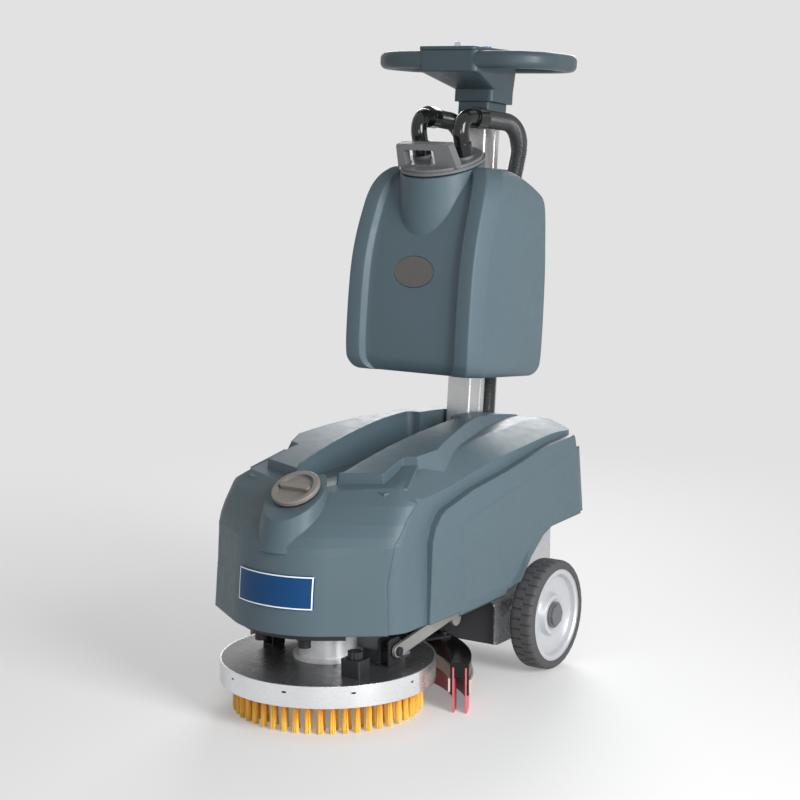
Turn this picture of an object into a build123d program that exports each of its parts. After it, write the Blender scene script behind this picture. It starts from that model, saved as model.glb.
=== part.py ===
from build123d import *

import os
from math import atan2, cos, degrees, hypot, radians, sin, tan

os.makedirs("parts", exist_ok=True)

# Walk-behind floor scrubber. Millimetres, +Z up, the nose points along -Y, the machine's left is +X.
# The origin is on the floor, under the middle of the machine.

# Driving dimensions
BRUSH_R = 165.0                       # a 330 mm scrubbing brush
DECK_R = BRUSH_R + 20.5               # the deck covers the brush with a rim band
BODY_REAR = 590.0                     # from the brush axis to the tail of the body
LENGTH = DECK_R + BODY_REAR
BRUSH_Y = DECK_R - LENGTH / 2         # the brush axis, so that the length is centred on the origin
HALF_WIDTH = 205.0                    # the body's side panels
WHEEL_R = 100.0
WHEEL_WIDTH = 47.0
WHEEL_OUTER_X = 231.0                 # outer face of a wheel
AXLE_FROM_BRUSH = 397.0
BODY_LOW = 168.0                      # lower edge of the nose
SHEET = 3.0                           # steel plate of the chassis
GAP = 0.3                             # between curved faces on different bodies


def behind(distance):
    """Y of a place given by its distance behind the brush axis."""
    return BRUSH_Y + distance


AXLE_Y = behind(AXLE_FROM_BRUSH)

# The mast leans back; all that it carries is drawn square to it.
MAST_LEAN = 5.8
DECK_TOP = 255.0                      # top of the chassis deck
MAST_FOOT_Z = DECK_TOP + 3
MAST_FOOT_Y = behind(430.0)
MAST_WIDTH = 50.0
MAST_DEPTH = 55.0
MAST_LENGTH = 812.0
MAST = Plane(
    origin=(0, MAST_FOOT_Y, MAST_FOOT_Z),
    x_dir=(1, 0, 0),
    z_dir=(0, sin(radians(MAST_LEAN)), cos(radians(MAST_LEAN))),
)
MAST_AXIS = Axis(MAST.origin, MAST.z_dir)
# The mast's own side view: first axis to the rear, second axis up along the mast.
MAST_SIDE = Plane(
    origin=MAST.origin,
    x_dir=(0, cos(radians(MAST_LEAN)), -sin(radians(MAST_LEAN))),
    z_dir=(1, 0, 0),
)


def finish(builder, name):
    """Labels a finished piece and writes it."""
    builder.part.label = name
    export_step(builder.part, f"parts/{name}.step")


# Body shell: outer body, central saddle, nose panel, side panels, filler boss, scoop and mast well
def plan_outline(half_width, nose, tail, sweep, tip_radius, corner_radius):
    """Plan of the body: a nose swept back to its corners, parallel sides and a bowed tail."""
    nose_corner = nose + sweep * half_width
    tail_corner = tail - 22
    FilletPolyline(
        (0, nose),
        (half_width, nose_corner),
        (half_width, tail_corner),
        (0, tail),
        (-half_width, tail_corner),
        (-half_width, nose_corner),
        radius=[tip_radius, corner_radius, 45, 300, 45, corner_radius],
        close=True,
    )


def cross_section(half_width, crease, shoulder_x, shoulder):
    """The hump seen from the front: sides, creases and shoulders."""
    FilletPolyline(
        (half_width + 1, 60),
        (half_width - 4, crease),
        (shoulder_x, shoulder),
        (-shoulder_x, shoulder),
        (-half_width + 4, crease),
        (-half_width - 1, 60),
        radius=[14, 26, 26, 14],
    )


# distance behind the brush, crease height, shoulder half width and height
STATIONS = [
    (-240, 338, 150, 352),
    (-110, 346, 150, 366),
    (-20, 368, 150, 398),
    (72, 372, 140, 415),
    (180, 388, 132, 428),
    (300, 404, 124, 434),
    (420, 414, 120, 438),
    (520, 412, 120, 436),
    (640, 396, 116, 412),
]

with BuildPart() as hump:
    for distance, crease, shoulder_x, shoulder in STATIONS:
        with BuildSketch(Plane.XZ.offset(-behind(distance))):
            with BuildLine():
                cross_section(HALF_WIDTH, crease, shoulder_x, shoulder)
                Line((HALF_WIDTH + 1, 60), (-HALF_WIDTH - 1, 60))
            make_face()
    loft()

CORE_HALF = HALF_WIDTH - 12
SIDE_X = HALF_WIDTH - 5               # the side panels, which carry the raised pads
NOSE_PROUD = 7.0                      # of the nose panel, outside the core
SADDLE_Z = 418.0                      # where the saddle's flanks meet the shoulders
FILLER_TILT = 30.0                    # the filler cap faces up and forward
FILLER_Y = behind(-86)
FILLER_Z = 388.0
FILLER = Plane(
    origin=(0, FILLER_Y, FILLER_Z),
    x_dir=(1, 0, 0),
    z_dir=(0, -sin(radians(FILLER_TILT)), cos(radians(FILLER_TILT))),
)
NECK_R = 31.0                         # filler neck bore

# Chassis, drive and lift dimensions that the body leaves room for
PLATE_X = 150.0                       # inner face of a chassis side plate
CHASSIS_ROOM = PLATE_X + SHEET + 2
MOTOR_R = 50.0
ARM_X = 127.0                         # middle of a lift arm bracket
VACUUM_X = 92.0
VACUUM_Y = behind(420)
VACUUM_R = 50.0
VACUUM_HIGH = 105.0
TANK_FLOOR = 310.0                    # floor and roof of the water in the nose
TANK_ROOF = 352.0
SCOOP_FLOOR = 392.0
WELL_HALF = 33.0                      # half width of the well round the mast
HOSE_R = 16.5
HOSE_X = 20.0                         # the two hoses run down side by side behind the mast
HOSE_V = 47.0
HOSE_END = 100.0                      # height along the mast at which they end in the body
ARCH = [(262, 174), (316, 176), (351, 214), (397, 246), (428, 256), (640, 262)]


def side_outline(points):
    """Closed outline in the side view from points given behind the brush axis."""
    Polyline(*[(behind(distance), height) for distance, height in points], close=True)


def mirrored(half):
    """Closed plan outline from its right half, points given behind the brush axis."""
    right = [(x, behind(distance)) for x, distance in half]
    left = [(-x, y) for x, y in reversed(right)]
    Polyline(*right, *left, close=True)


with BuildPart() as saddle:
    with BuildSketch(Plane.XY.offset(SADDLE_Z - 38)):
        with BuildLine():
            mirrored([
                (100, 40), (150, 60), (172, 118), (146, 242), (112, 377), (104, 520), (70, 560),
            ])
        make_face()
    extrude(amount=90, taper=24)
    # the upright step behind the filler
    with BuildSketch(Plane.XY.offset(SADDLE_Z - 38)):
        with BuildLine():
            mirrored([(26, -34), (120, -8), (112, 66), (80, 120)])
        make_face()
    extrude(amount=90, taper=2)
    with BuildSketch(Plane.YZ):
        with BuildLine():
            Polyline(
                (behind(600), 415),
                (behind(600), 340),
                (behind(-90), 340),
                (behind(-90), 399),
                (behind(-50), 409),
            )
            Spline(
                (behind(-50), 409),
                (behind(50), 430),
                (behind(175), 448),
                (behind(310), 457),
                (behind(430), 451),
                (behind(520), 437),
                (behind(600), 415),
            )
        make_face()
    extrude(amount=HALF_WIDTH, both=True, mode=Mode.INTERSECT)

with BuildPart() as ramps:
    for side in (1, -1):
        with BuildSketch(Plane.XY.offset(TANK_ROOF)):
            with BuildLine():
                Polyline(*[
                    (side * x, behind(distance))
                    for x, distance in [(114, -30), (138, -34), (162, 0), (138, 68), (111, 60)]
                ], close=True)
            make_face()
        extrude(amount=80)
    with BuildSketch(Plane.YZ):
        with BuildLine():
            side_outline([(-70, 340), (-70, 386), (-10, 395), (70, 422), (70, 340)])
        make_face()
    extrude(amount=HALF_WIDTH, both=True, mode=Mode.INTERSECT)

# height, nose and sweep of the body's plan sections: an upright front, then an incline to the saddle
ROLL = [
    (BODY_LOW, -201, 0.7),
    (240, -195, 0.7),
    (296, -187, 0.69),
    (312, -181, 0.66),
    (328, -165, 0.6),
    (346, -136, 0.49),
    (374, -88, 0.33),
    (400, -43, 0.24),
    (440, 23, 0.24),
]


def rolled_nose(proud):
    """The body's plan sections lofted, a given distance outside the core."""
    with BuildPart() as form:
        for height, nose, sweep in ROLL:
            lean = (height - BODY_LOW) / 25
            with BuildSketch(Plane.XY.offset(height)):
                with BuildLine():
                    plan_outline(
                        CORE_HALF + proud - lean,
                        behind(nose - proud),
                        behind(BODY_REAR - 2 * lean),
                        sweep,
                        160,
                        55,
                    )
                make_face()
        loft(ruled=True)
    return form.part


core_form = rolled_nose(0)
proud_form = rolled_nose(NOSE_PROUD)

with BuildPart() as nose_panel:
    add(proud_form)
    with BuildSketch(Plane.YZ):
        with BuildLine():
            side_outline([
                (-240, 150), (-84, 150), (-79, 250), (-66, 315), (-38, 352), (-6, 380), (30, 398),
                (60, 440), (-240, 440),
            ])
        make_face()
    extrude(amount=HALF_WIDTH + 10, both=True, mode=Mode.INTERSECT)


# raised pad on each side, with a bevel all round: the style line above, the lip over the arch below
PAD_SECTIONS = {
    6.5: [
        (104, 328), (248, 354), (509, 389), (532, 388), (549, 263), (417, 256), (351, 227),
        (322, 181), (290, 162), (104, 160),
    ],
    0: [
        (121, 310), (266, 333), (500, 365), (512, 360), (517, 286), (394, 281), (339, 249),
        (304, 214), (269, 183), (121, 188),
    ],
}
with BuildPart() as pads:
    for inset, points in PAD_SECTIONS.items():
        with BuildSketch(Plane.YZ.offset(HALF_WIDTH - inset)):
            with BuildLine():
                side_outline(points)
            make_face()
    loft(ruled=True)
    mirror(about=Plane.YZ)

# filler boss: a cone that leans back, cut by the cap's plane
with BuildPart() as filler_boss:
    with BuildSketch(Plane.XY.offset(300)):
        with Locations((0, behind(-104))):
            Circle(60)
    with BuildSketch(Plane.XY.offset(430)):
        with Locations((0, behind(-80))):
            Circle(46)
    loft()
    with BuildSketch(FILLER):
        Rectangle(300, 300)
    extrude(amount=120, mode=Mode.SUBTRACT)

with BuildPart() as body_shell:
    add(core_form)
    # side panels, proud of the core
    with BuildSketch(Plane.YZ):
        with BuildLine():
            side_outline([
                (10, BODY_LOW), (19, 306), (30, 330), (46, 346), (60, 354), (150, 373), (265, 386),
                (424, 408), (512, 412), (530, 350), (548, BODY_LOW),
            ])
        make_face()
    extrude(amount=SIDE_X, both=True)
    add(nose_panel.part)
    add(pads.part)
    add(hump.part, mode=Mode.INTERSECT)
    add(saddle.part)
    add(ramps.part)
    add(filler_boss.part)
    # scoop behind the filler, and the mast's well at its end
    with BuildSketch(Plane.XY.offset(SCOOP_FLOOR)):
        with BuildLine():
            FilletPolyline(
                (0, behind(-46)),
                (47, behind(-36)),
                (54, behind(240)),
                (54, behind(342)),
                (-54, behind(342)),
                (-54, behind(240)),
                (-47, behind(-36)),
                radius=[60, 36, 40, 8, 8, 40, 36],
                close=True,
            )
        make_face()
    extrude(amount=90, taper=-4, mode=Mode.SUBTRACT)
    with BuildSketch(Plane.XY.offset(SCOOP_FLOOR)):
        with Locations((0, behind(380))):
            Rectangle(2 * WELL_HALF, 110)
    extrude(amount=120, mode=Mode.SUBTRACT)
    with BuildSketch(MAST.offset(-40)):
        RectangleRounded(2 * WELL_HALF, 68, 8)
    extrude(amount=400, mode=Mode.SUBTRACT)
    with BuildSketch(MAST.offset(HOSE_END)):
        with Locations((HOSE_X, HOSE_V), (-HOSE_X, HOSE_V)):
            Circle(HOSE_R + GAP)
    extrude(amount=300, mode=Mode.SUBTRACT)
    with BuildSketch(Plane.XY.offset(DECK_TOP)):
        with Locations((0, MAST_FOOT_Y - 36)):
            Rectangle(2 * WELL_HALF, 44)
    extrude(amount=68, mode=Mode.SUBTRACT)
    # wheel arches and the raised tail
    with BuildSketch(Plane.YZ):
        with BuildLine():
            side_outline([(262, 100)] + ARCH + [(640, 100)])
        make_face()
    extrude(amount=HALF_WIDTH + 20, both=True, mode=Mode.SUBTRACT)
    # room for the chassis under the middle, from below
    with BuildSketch(Plane.XY.offset(100)):
        with Locations((0, behind(398))):
            Rectangle(2 * CHASSIS_ROOM, 228)
    extrude(amount=DECK_TOP + 7 - 100, mode=Mode.SUBTRACT)
    # room for the brush motor and for the lift arms
    with BuildSketch(Plane.XY.offset(BODY_LOW)):
        with Locations((0, BRUSH_Y)):
            Circle(MOTOR_R + 14)
    extrude(amount=128, mode=Mode.SUBTRACT)
    with BuildSketch(Plane.XY.offset(BODY_LOW - 1)):
        with Locations((ARM_X, behind(145)), (-ARM_X, behind(145))):
            Rectangle(44, 338)
    extrude(amount=38, mode=Mode.SUBTRACT)
    # room for the vacuum motor beside the mast
    with BuildSketch(Plane.XY.offset(DECK_TOP)):
        with Locations((VACUUM_X, VACUUM_Y)):
            Circle(VACUUM_R + 4)
    extrude(amount=VACUUM_HIGH + 12, mode=Mode.SUBTRACT)
    # the solution tank inside the nose, and its filler neck
    with BuildSketch(Plane.XY.offset(TANK_FLOOR)):
        with Locations((0, behind(-37))):
            RectangleRounded(146, 84, 22)
    extrude(amount=TANK_ROOF - TANK_FLOOR, mode=Mode.SUBTRACT)
    with BuildSketch(FILLER.offset(2)):
        Circle(NECK_R)
    extrude(amount=-58, mode=Mode.SUBTRACT)

finish(body_shell, "body_shell")

# Filler cap with a wing grip in a dished recess, and its flat gasket
with BuildPart() as filler_cap:
    with BuildSketch(FILLER.offset(3)):
        Circle(42)
    extrude(amount=9)
    fillet(filler_cap.edges().group_by(SortBy.LENGTH)[-1], 2.5)
    with BuildSketch(FILLER.offset(7)):
        Circle(32)
    extrude(amount=8, mode=Mode.SUBTRACT)
    with BuildSketch(FILLER.offset(3)):
        SlotOverall(60, 11)
    extrude(amount=12)
    with BuildSketch(FILLER.offset(3)):
        Circle(NECK_R - 1)
    extrude(amount=-14)
    with BuildSketch(FILLER.offset(-11)):
        Circle(NECK_R - 6)
    extrude(amount=11, mode=Mode.SUBTRACT)
finish(filler_cap, "filler_cap")

with BuildPart() as filler_gasket:
    with BuildSketch(FILLER):
        Circle(40)
        Circle(NECK_R + 1, mode=Mode.SUBTRACT)
    extrude(amount=3)
finish(filler_gasket, "filler_gasket")

# Chassis: side plates, deck, front cross member and nose rails in one weldment, with the lift arm pins
ARM_REAR = (behind(300), 157.0)       # lift arm pivots in the side view, at the chassis and at the deck
ARM_FRONT = (behind(8), 114.0)
PIN_R = 5.0
with BuildPart() as chassis_frame:
    for inner in (PLATE_X, -PLATE_X - SHEET):
        with BuildSketch(Plane.YZ.offset(inner)):
            with BuildLine():
                FilletPolyline(
                    (behind(284), 140),
                    (behind(305), 128),
                    (behind(305), 52),
                    (behind(508), 52),
                    (behind(508), DECK_TOP),
                    (behind(400), DECK_TOP),
                    (behind(325), 200),
                    (behind(284), 200),
                    radius=[6, 12, 8, 20, 8, 30, 20, 8],
                    close=True,
                )
            make_face()
        extrude(amount=SHEET)
    with BuildSketch(Plane.XY.offset(DECK_TOP)):
        with Locations((0, behind(454))):
            Rectangle(2 * PLATE_X, 108)
        with Locations((0, behind(484))):
            RectangleRounded(56, 40, 8, mode=Mode.SUBTRACT)
    extrude(amount=-SHEET)
    with BuildSketch(Plane.XY.offset(180)):
        with Locations((0, behind(294))):
            Rectangle(2 * PLATE_X, 16)
    extrude(amount=16)
    with BuildSketch(Plane.XY.offset(150)):
        with Locations((82, behind(294)), (-82, behind(294))):
            Rectangle(14, 16)
    extrude(amount=30)
    with BuildSketch(Plane.XY.offset(150)):
        with Locations((82, behind(120)), (-82, behind(120))):
            Rectangle(14, 350)
    extrude(amount=16)
    for side in (1, -1):
        with BuildSketch(Plane.YZ.offset(side * (PLATE_X + SHEET))):
            with Locations(ARM_REAR):
                Circle(PIN_R)
        extrude(amount=-side * 24)
finish(chassis_frame, "chassis_frame")

# Battery box with two batteries, hung between the side plates
BOX_LOW = 50.0
BOX_HIGH = 232.0
with BuildPart() as battery_box:
    with BuildSketch(Plane.XY.offset(BOX_LOW)):
        with Locations((0, behind(411))):
            RectangleRounded(2 * PLATE_X - 0.4, 188, 8)
    extrude(amount=BOX_HIGH - BOX_LOW)
    with BuildSketch(Plane.XY.offset(BOX_LOW + SHEET)):
        with Locations((0, behind(411))):
            RectangleRounded(2 * PLATE_X - 7, 182, 5)
    extrude(amount=BOX_HIGH, mode=Mode.SUBTRACT)
    with BuildSketch(Plane.XZ.offset(-behind(300))):
        with Locations((0, 200)):
            Rectangle(2 * PLATE_X + 10, 80)
    extrude(amount=-44, mode=Mode.SUBTRACT)
finish(battery_box, "battery_box")

with BuildPart() as battery_pack:
    with BuildSketch(Plane.XY.offset(BOX_LOW + SHEET)):
        with Locations((73, behind(422)), (-73, behind(422))):
            RectangleRounded(138, 150, 6)
    extrude(amount=166)
    with BuildSketch(Plane.XY.offset(BOX_LOW + SHEET + 166)):
        for x in (73, -73):
            with Locations((x - 45, behind(370)), (x + 45, behind(370))):
                Circle(8)
    extrude(amount=8)
finish(battery_pack, "battery_pack")

# Wheels on stub axles
AXLE_R = 10.0
HUB_R = 30.0
RIM_R = 84.0
WHEEL_INNER_X = WHEEL_OUTER_X - WHEEL_WIDTH
with BuildPart() as stub_axles:
    for side in (1, -1):
        with BuildSketch(Plane.YZ.offset(side * (PLATE_X + SHEET))):
            with Locations((AXLE_Y, WHEEL_R)):
                Circle(26)
        extrude(amount=side * 8)
        with BuildSketch(Plane.YZ.offset(side * (PLATE_X + SHEET))):
            with Locations((AXLE_Y, WHEEL_R)):
                Circle(16)
        extrude(amount=side * (WHEEL_INNER_X - 1 - PLATE_X - SHEET))
        with BuildSketch(Plane.YZ.offset(side * (PLATE_X + SHEET))):
            with Locations((AXLE_Y, WHEEL_R)):
                Circle(AXLE_R)
        extrude(amount=side * (WHEEL_OUTER_X - 8 - PLATE_X - SHEET))
finish(stub_axles, "stub_axles")

WHEEL_AXIS = Axis((0, AXLE_Y, WHEEL_R), (1, 0, 0))


def wheel_section(side, points):
    """A wheel's half section: radius from the axle, and distance from the inner face outwards."""
    return [(side * (WHEEL_INNER_X + across), AXLE_Y + radius) for radius, across in points]


for side, hand in ((1, "left"), (-1, "right")):
    with BuildPart() as tyre:
        with BuildSketch(Plane.XY.offset(WHEEL_R)):
            with BuildLine():
                FilletPolyline(
                    *wheel_section(side, [(RIM_R, 2), (95, 0), (100, 6), (100, 41), (95, 47), (RIM_R, 45)]),
                    radius=[0, 4, 3, 3, 4, 0],
                    close=True,
                )
            make_face()
        revolve(axis=WHEEL_AXIS)
    finish(tyre, f"tyre_{hand}")

    with BuildPart() as rim:
        with BuildSketch(Plane.XY.offset(WHEEL_R)):
            with BuildLine():
                Polyline(
                    *wheel_section(side, [
                        (RIM_R, 2), (RIM_R, 45), (76, 46), (73, 43), (72, 34), (40, 30), (36, 40), (HUB_R, 41),
                        (26, 38), (AXLE_R + 0.05, 38), (AXLE_R + 0.05, 2), (HUB_R, 2), (36, 20), (70, 24),
                        (74, 14), (76, 2),
                    ]),
                    close=True,
                )
            make_face()
        revolve(axis=WHEEL_AXIS)
    finish(rim, f"rim_{hand}")

    with BuildPart() as hub_cap:
        with BuildSketch(Plane.YZ.offset(side * (WHEEL_INNER_X + 38))):
            with Locations((AXLE_Y, WHEEL_R)):
                Circle(24)
        extrude(amount=side * 4)
        with BuildSketch(Plane.YZ.offset(side * (WHEEL_INNER_X + 42))):
            with Locations((AXLE_Y, WHEEL_R)):
                RegularPolygon(20, 8)
        extrude(amount=side * 4.5)
        with BuildSketch(Plane.YZ.offset(side * (WHEEL_INNER_X + 38))):
            with Locations((AXLE_Y, WHEEL_R)):
                Circle(AXLE_R + 1)
        extrude(amount=side * 3, mode=Mode.SUBTRACT)
    finish(hub_cap, f"hub_cap_{hand}")

# Vacuum motor beside the mast
with BuildPart() as vacuum_motor:
    with BuildSketch(Plane.XY.offset(DECK_TOP)):
        with Locations((VACUUM_X, VACUUM_Y)):
            Circle(VACUUM_R)
    extrude(amount=62)
    with BuildSketch(Plane.XY.offset(DECK_TOP + 62)):
        with Locations((VACUUM_X, VACUUM_Y)):
            Circle(38)
    extrude(amount=VACUUM_HIGH - 62)
finish(vacuum_motor, "vacuum_motor")

# Mast: a rectangular extrusion with a groove down each side, in a socket on the chassis deck
SOCKET_HIGH = 78.0
with BuildPart() as mast:
    with BuildSketch(MAST):
        RectangleRounded(MAST_WIDTH, MAST_DEPTH, 4)
        RectangleRounded(MAST_WIDTH - 6, MAST_DEPTH - 6, 2, mode=Mode.SUBTRACT)
        with Locations((MAST_WIDTH / 2, 6), (-MAST_WIDTH / 2, 6)):
            Rectangle(2.4, 9, mode=Mode.SUBTRACT)
    extrude(amount=MAST_LENGTH)
finish(mast, "mast")

with BuildPart() as mast_socket:
    with BuildSketch(MAST.offset(4)):
        RectangleRounded(62, 67, 6)
        Rectangle(MAST_WIDTH + 0.2, MAST_DEPTH + 0.2, mode=Mode.SUBTRACT)
    extrude(amount=SOCKET_HIGH)
    with BuildSketch(Plane.XY.offset(DECK_TOP)):
        with Locations((0, MAST_FOOT_Y - 44)):
            Rectangle(62, 20)
    extrude(amount=6)
    with BuildSketch(Plane.YZ):
        with BuildLine():
            Polyline(
                (MAST_FOOT_Y - 54, DECK_TOP),
                (MAST_FOOT_Y - 33.2, DECK_TOP),
                (MAST_FOOT_Y - 33.2 + 6, DECK_TOP + 60),
                (MAST_FOOT_Y - 33.2 + 2, DECK_TOP + 60),
                close=True,
            )
        make_face()
    extrude(amount=4, both=True)
finish(mast_socket, "mast_socket")

BOLT_HEIGHTS = (22.0, 62.0)
with BuildPart() as mast_bolts:
    for side in (1, -1):
        with BuildSketch(MAST_SIDE.offset(side * 31)):
            with Locations(*[(-14, height) for height in BOLT_HEIGHTS]):
                RegularPolygon(6.5, 6)
        extrude(amount=side * 1.6)
finish(mast_bolts, "mast_bolts")

# Recovery tank, drawn square to the mast: it wraps round the mast's front and sides
TANK_PROFILE = [                      # height along the mast, front face, half width, back face
    (267, -194, 128, 12),
    (276, -206, 138, 19),
    (292, -215, 143, 22),
    (345, -219, 144, 23),
    (450, -216, 144, 21),
    (510, -206, 143, 18),
    (571, -187, 141, 15),
    (606, -170, 136, 6),
    (627, -154, 126, -14),
    (638, -138, 108, -38),
]
TANK_RECESS = 11.0                    # the front panel lies behind the two corner columns
TANK_WALL = 5.0
TANK_BASE = 274.0                     # inside of the tank's floor, along the mast
LID_TILT = 21.0                       # the lid faces up and forward of the mast's own square
LID_R = 78.5
LID_BORE_R = 62.0
LID_CENTRE = (-127.0, 641.0)          # in the mast's side view
lid_place = MAST_SIDE.from_local_coords((LID_CENTRE[0], LID_CENTRE[1], 0))
LID_LEAN = LID_TILT - MAST_LEAN       # from the vertical, forwards
LID = Plane(
    origin=lid_place,
    x_dir=(1, 0, 0),
    z_dir=(0, -sin(radians(LID_LEAN)), cos(radians(LID_LEAN))),
)


def tank_form(inset):
    """The tank's plan sections lofted up the mast, a given distance inside its outer face."""
    with BuildPart() as form:
        for height, front, half_width, back in TANK_PROFILE:
            with BuildSketch(MAST.offset(height)):
                with BuildLine():
                    front_x, side_y = half_width - 18, front + 0.22 * (back - front)
                    FilletPolyline(
                        (front_x - inset, front + inset),
                        (half_width - inset, side_y),
                        (half_width - inset, back - inset),
                        (-half_width + inset, back - inset),
                        (-half_width + inset, side_y),
                        (-front_x + inset, front + inset),
                        radius=[9, 12, 10, 10, 12, 9],
                        close=True,
                    )
                make_face()
        loft()
    return form.part


tank_outer = tank_form(0)
tank_panel = tank_form(TANK_RECESS)
tank_inner = tank_form(TANK_RECESS + TANK_WALL)

# the front panel is recessed between two corner columns
with BuildPart() as front_recess:
    with BuildSketch(MAST_SIDE):
        with BuildLine():
            Polyline((-250, 322), (-180, 336), (-100, 700), (-250, 700), close=True)
        make_face()
    extrude(amount=92, both=True)
    add(tank_panel, mode=Mode.SUBTRACT)

with BuildPart() as tank_room:
    add(tank_inner)
    with BuildSketch(MAST.offset(TANK_BASE)):
        with Locations((0, -222)):
            Rectangle(300, 370)
    extrude(amount=386, mode=Mode.INTERSECT)

with BuildPart() as lid_neck:
    with BuildSketch(MAST.offset(503)):
        with Locations((0, LID_CENTRE[0])):
            Circle(LID_R - 2.5)
    extrude(amount=180)

BADGE_WIDE = 41.0
BADGE_TALL = 27.5
BADGE_PLANE = Plane(
    origin=MAST_SIDE.from_local_coords((-202.0, 447, 0)),
    x_dir=(1, 0, 0),
    z_dir=MAST_SIDE.x_dir * -1 + MAST.z_dir * 0.1,
)

with BuildPart() as recovery_tank:
    add(tank_outer)
    add(front_recess.part, mode=Mode.SUBTRACT)
    # neck under the lid, which shows as a half cylinder on the front
    add(lid_neck.part)
    with BuildSketch(BADGE_PLANE):
        Ellipse(BADGE_WIDE + GAP, BADGE_TALL + GAP)
    extrude(amount=30, mode=Mode.SUBTRACT)
    with BuildSketch(LID):
        Circle(LID_R + 50)
    extrude(amount=70, mode=Mode.SUBTRACT)
    add(tank_room.part, mode=Mode.SUBTRACT)
    with BuildSketch(LID.offset(1)):
        Circle(LID_BORE_R)
    extrude(amount=-66, mode=Mode.SUBTRACT)
    # channel for the mast and the hoses behind it
    with BuildSketch(MAST.offset(200)):
        with Locations((0, 20)):
            Rectangle(MAST_WIDTH + 26, 102)
    extrude(amount=500, mode=Mode.SUBTRACT)
finish(recovery_tank, "recovery_tank")

with BuildPart() as tank_bracket:
    # a saddle on the mast's front that the tank hangs on
    with BuildSketch(MAST.offset(300)):
        Rectangle(66, 61)
        Rectangle(MAST_WIDTH + 0.4, MAST_DEPTH + 0.4, mode=Mode.SUBTRACT)
        with Locations((0, 32)):
            Rectangle(80, 20, mode=Mode.SUBTRACT)
    extrude(amount=260)
finish(tank_bracket, "tank_bracket")

# Plain oval badge plate in a seat on the tank's front panel
with BuildPart() as tank_badge:
    with BuildSketch(BADGE_PLANE):
        Ellipse(BADGE_WIDE, BADGE_TALL)
    extrude(amount=3.4)
finish(tank_badge, "tank_badge")

# Lid: a two-step disc with a bridge handle and two hose ports; its skirt drops into the tank's neck
PORT_X = 44.0
PORT_R = 14.0
PORT_BORE_R = 11.0
HANDLE_V = -42.0                      # the handle stands in front of the ports
with BuildPart() as tank_lid:
    with BuildSketch(LID.offset(3)):
        Circle(LID_R)
    extrude(amount=5)
    with BuildSketch(LID.offset(8)):
        Circle(LID_R - 4)
    extrude(amount=5)
    fillet(tank_lid.edges().group_by(Axis(LID.origin, LID.z_dir))[-1], 2)
    with BuildSketch(LID.offset(3)):
        Circle(LID_BORE_R - 4)
        Circle(LID_BORE_R - 7, mode=Mode.SUBTRACT)
    extrude(amount=-11)
    lid_handle_plane = Plane(
        origin=LID.from_local_coords((0, HANDLE_V, 12)), x_dir=(1, 0, 0), z_dir=LID.y_dir
    )
    with BuildSketch(lid_handle_plane):
        with BuildLine():
            FilletPolyline((62, 2), (50, -42), (-60, -42), (-62, 2), radius=[5, 5])
            Line((-62, 2), (62, 2))
        make_face()
        with Locations((-14, -17)):
            RectangleRounded(62, 27, 4, mode=Mode.SUBTRACT)
    extrude(amount=9, both=True)
    with BuildSketch(LID.offset(8)):
        with Locations((PORT_X, 4), (-PORT_X, 4)):
            Circle(PORT_R + 3)
    extrude(amount=10)
    with BuildSketch(LID.offset(8)):
        with Locations((PORT_X, 4), (-PORT_X, 4)):
            Circle(PORT_R)
    extrude(amount=22)
    with BuildSketch(LID.offset(-2)):
        with Locations((PORT_X, 4), (-PORT_X, 4)):
            Circle(PORT_BORE_R)
    extrude(amount=40, mode=Mode.SUBTRACT)
finish(tank_lid, "tank_lid")

with BuildPart() as lid_gasket:
    with BuildSketch(LID):
        Circle(LID_R - 4)
        Circle(LID_BORE_R + 1, mode=Mode.SUBTRACT)
    extrude(amount=3)
finish(lid_gasket, "lid_gasket")

# Float cage under the suction port, and its ball
FLOAT_R = 17.0
CAGE_X = 31.0
CAGE_DROP = 66.0
with BuildPart() as float_cage:
    with BuildSketch(LID.offset(3)):
        with Locations((CAGE_X, 4)):
            Circle(23)
            Circle(19, mode=Mode.SUBTRACT)
    extrude(amount=-CAGE_DROP)
    with BuildSketch(LID.offset(3 - CAGE_DROP)):
        with Locations((CAGE_X, 4)):
            Circle(23)
            Circle(8, mode=Mode.SUBTRACT)
    extrude(amount=-3)
    for turn in (0, 90):
        window = Plane(
            origin=LID.from_local_coords((CAGE_X, 4, 3 - CAGE_DROP + 8)),
            x_dir=LID.x_dir * cos(radians(turn)) + LID.y_dir * sin(radians(turn)),
            z_dir=LID.y_dir * cos(radians(turn)) - LID.x_dir * sin(radians(turn)),
        )
        with BuildSketch(window):
            with Locations((0, -16)):
                RectangleRounded(18, 32, 4)
        extrude(amount=30, both=True, mode=Mode.SUBTRACT)
finish(float_cage, "float_cage")

with BuildPart() as float_ball:
    with Locations(LID.from_local_coords((CAGE_X, 4, 3.3 - CAGE_DROP + FLOAT_R))):
        Sphere(FLOAT_R)
finish(float_ball, "float_ball")

# Elbows from the lid's ports to the hoses; a cuff at each end
ELBOW_R = 14.5
PORT_CUFF_R = 17.0
HOSE_CUFF_R = 19.5
BEND_R = 26.0
PORT_MOUTH = 30.3                     # above the lid's underside
ELBOW_CORNER = 92.0
HOSE_SIDE = 52.0                      # the hoses pass beside the neck sleeve
HOSE_MOUTH = (-84.0, 728.0)


def elbow_corner(side):
    """Where an elbow's two straight runs would meet."""
    return LID.from_local_coords((side * PORT_X, 4, ELBOW_CORNER))


def hose_mouth(side):
    """Mouth of an elbow's cuff, beside the mast."""
    return MAST.from_local_coords((side * HOSE_SIDE, HOSE_MOUTH[0], HOSE_MOUTH[1]))


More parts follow.
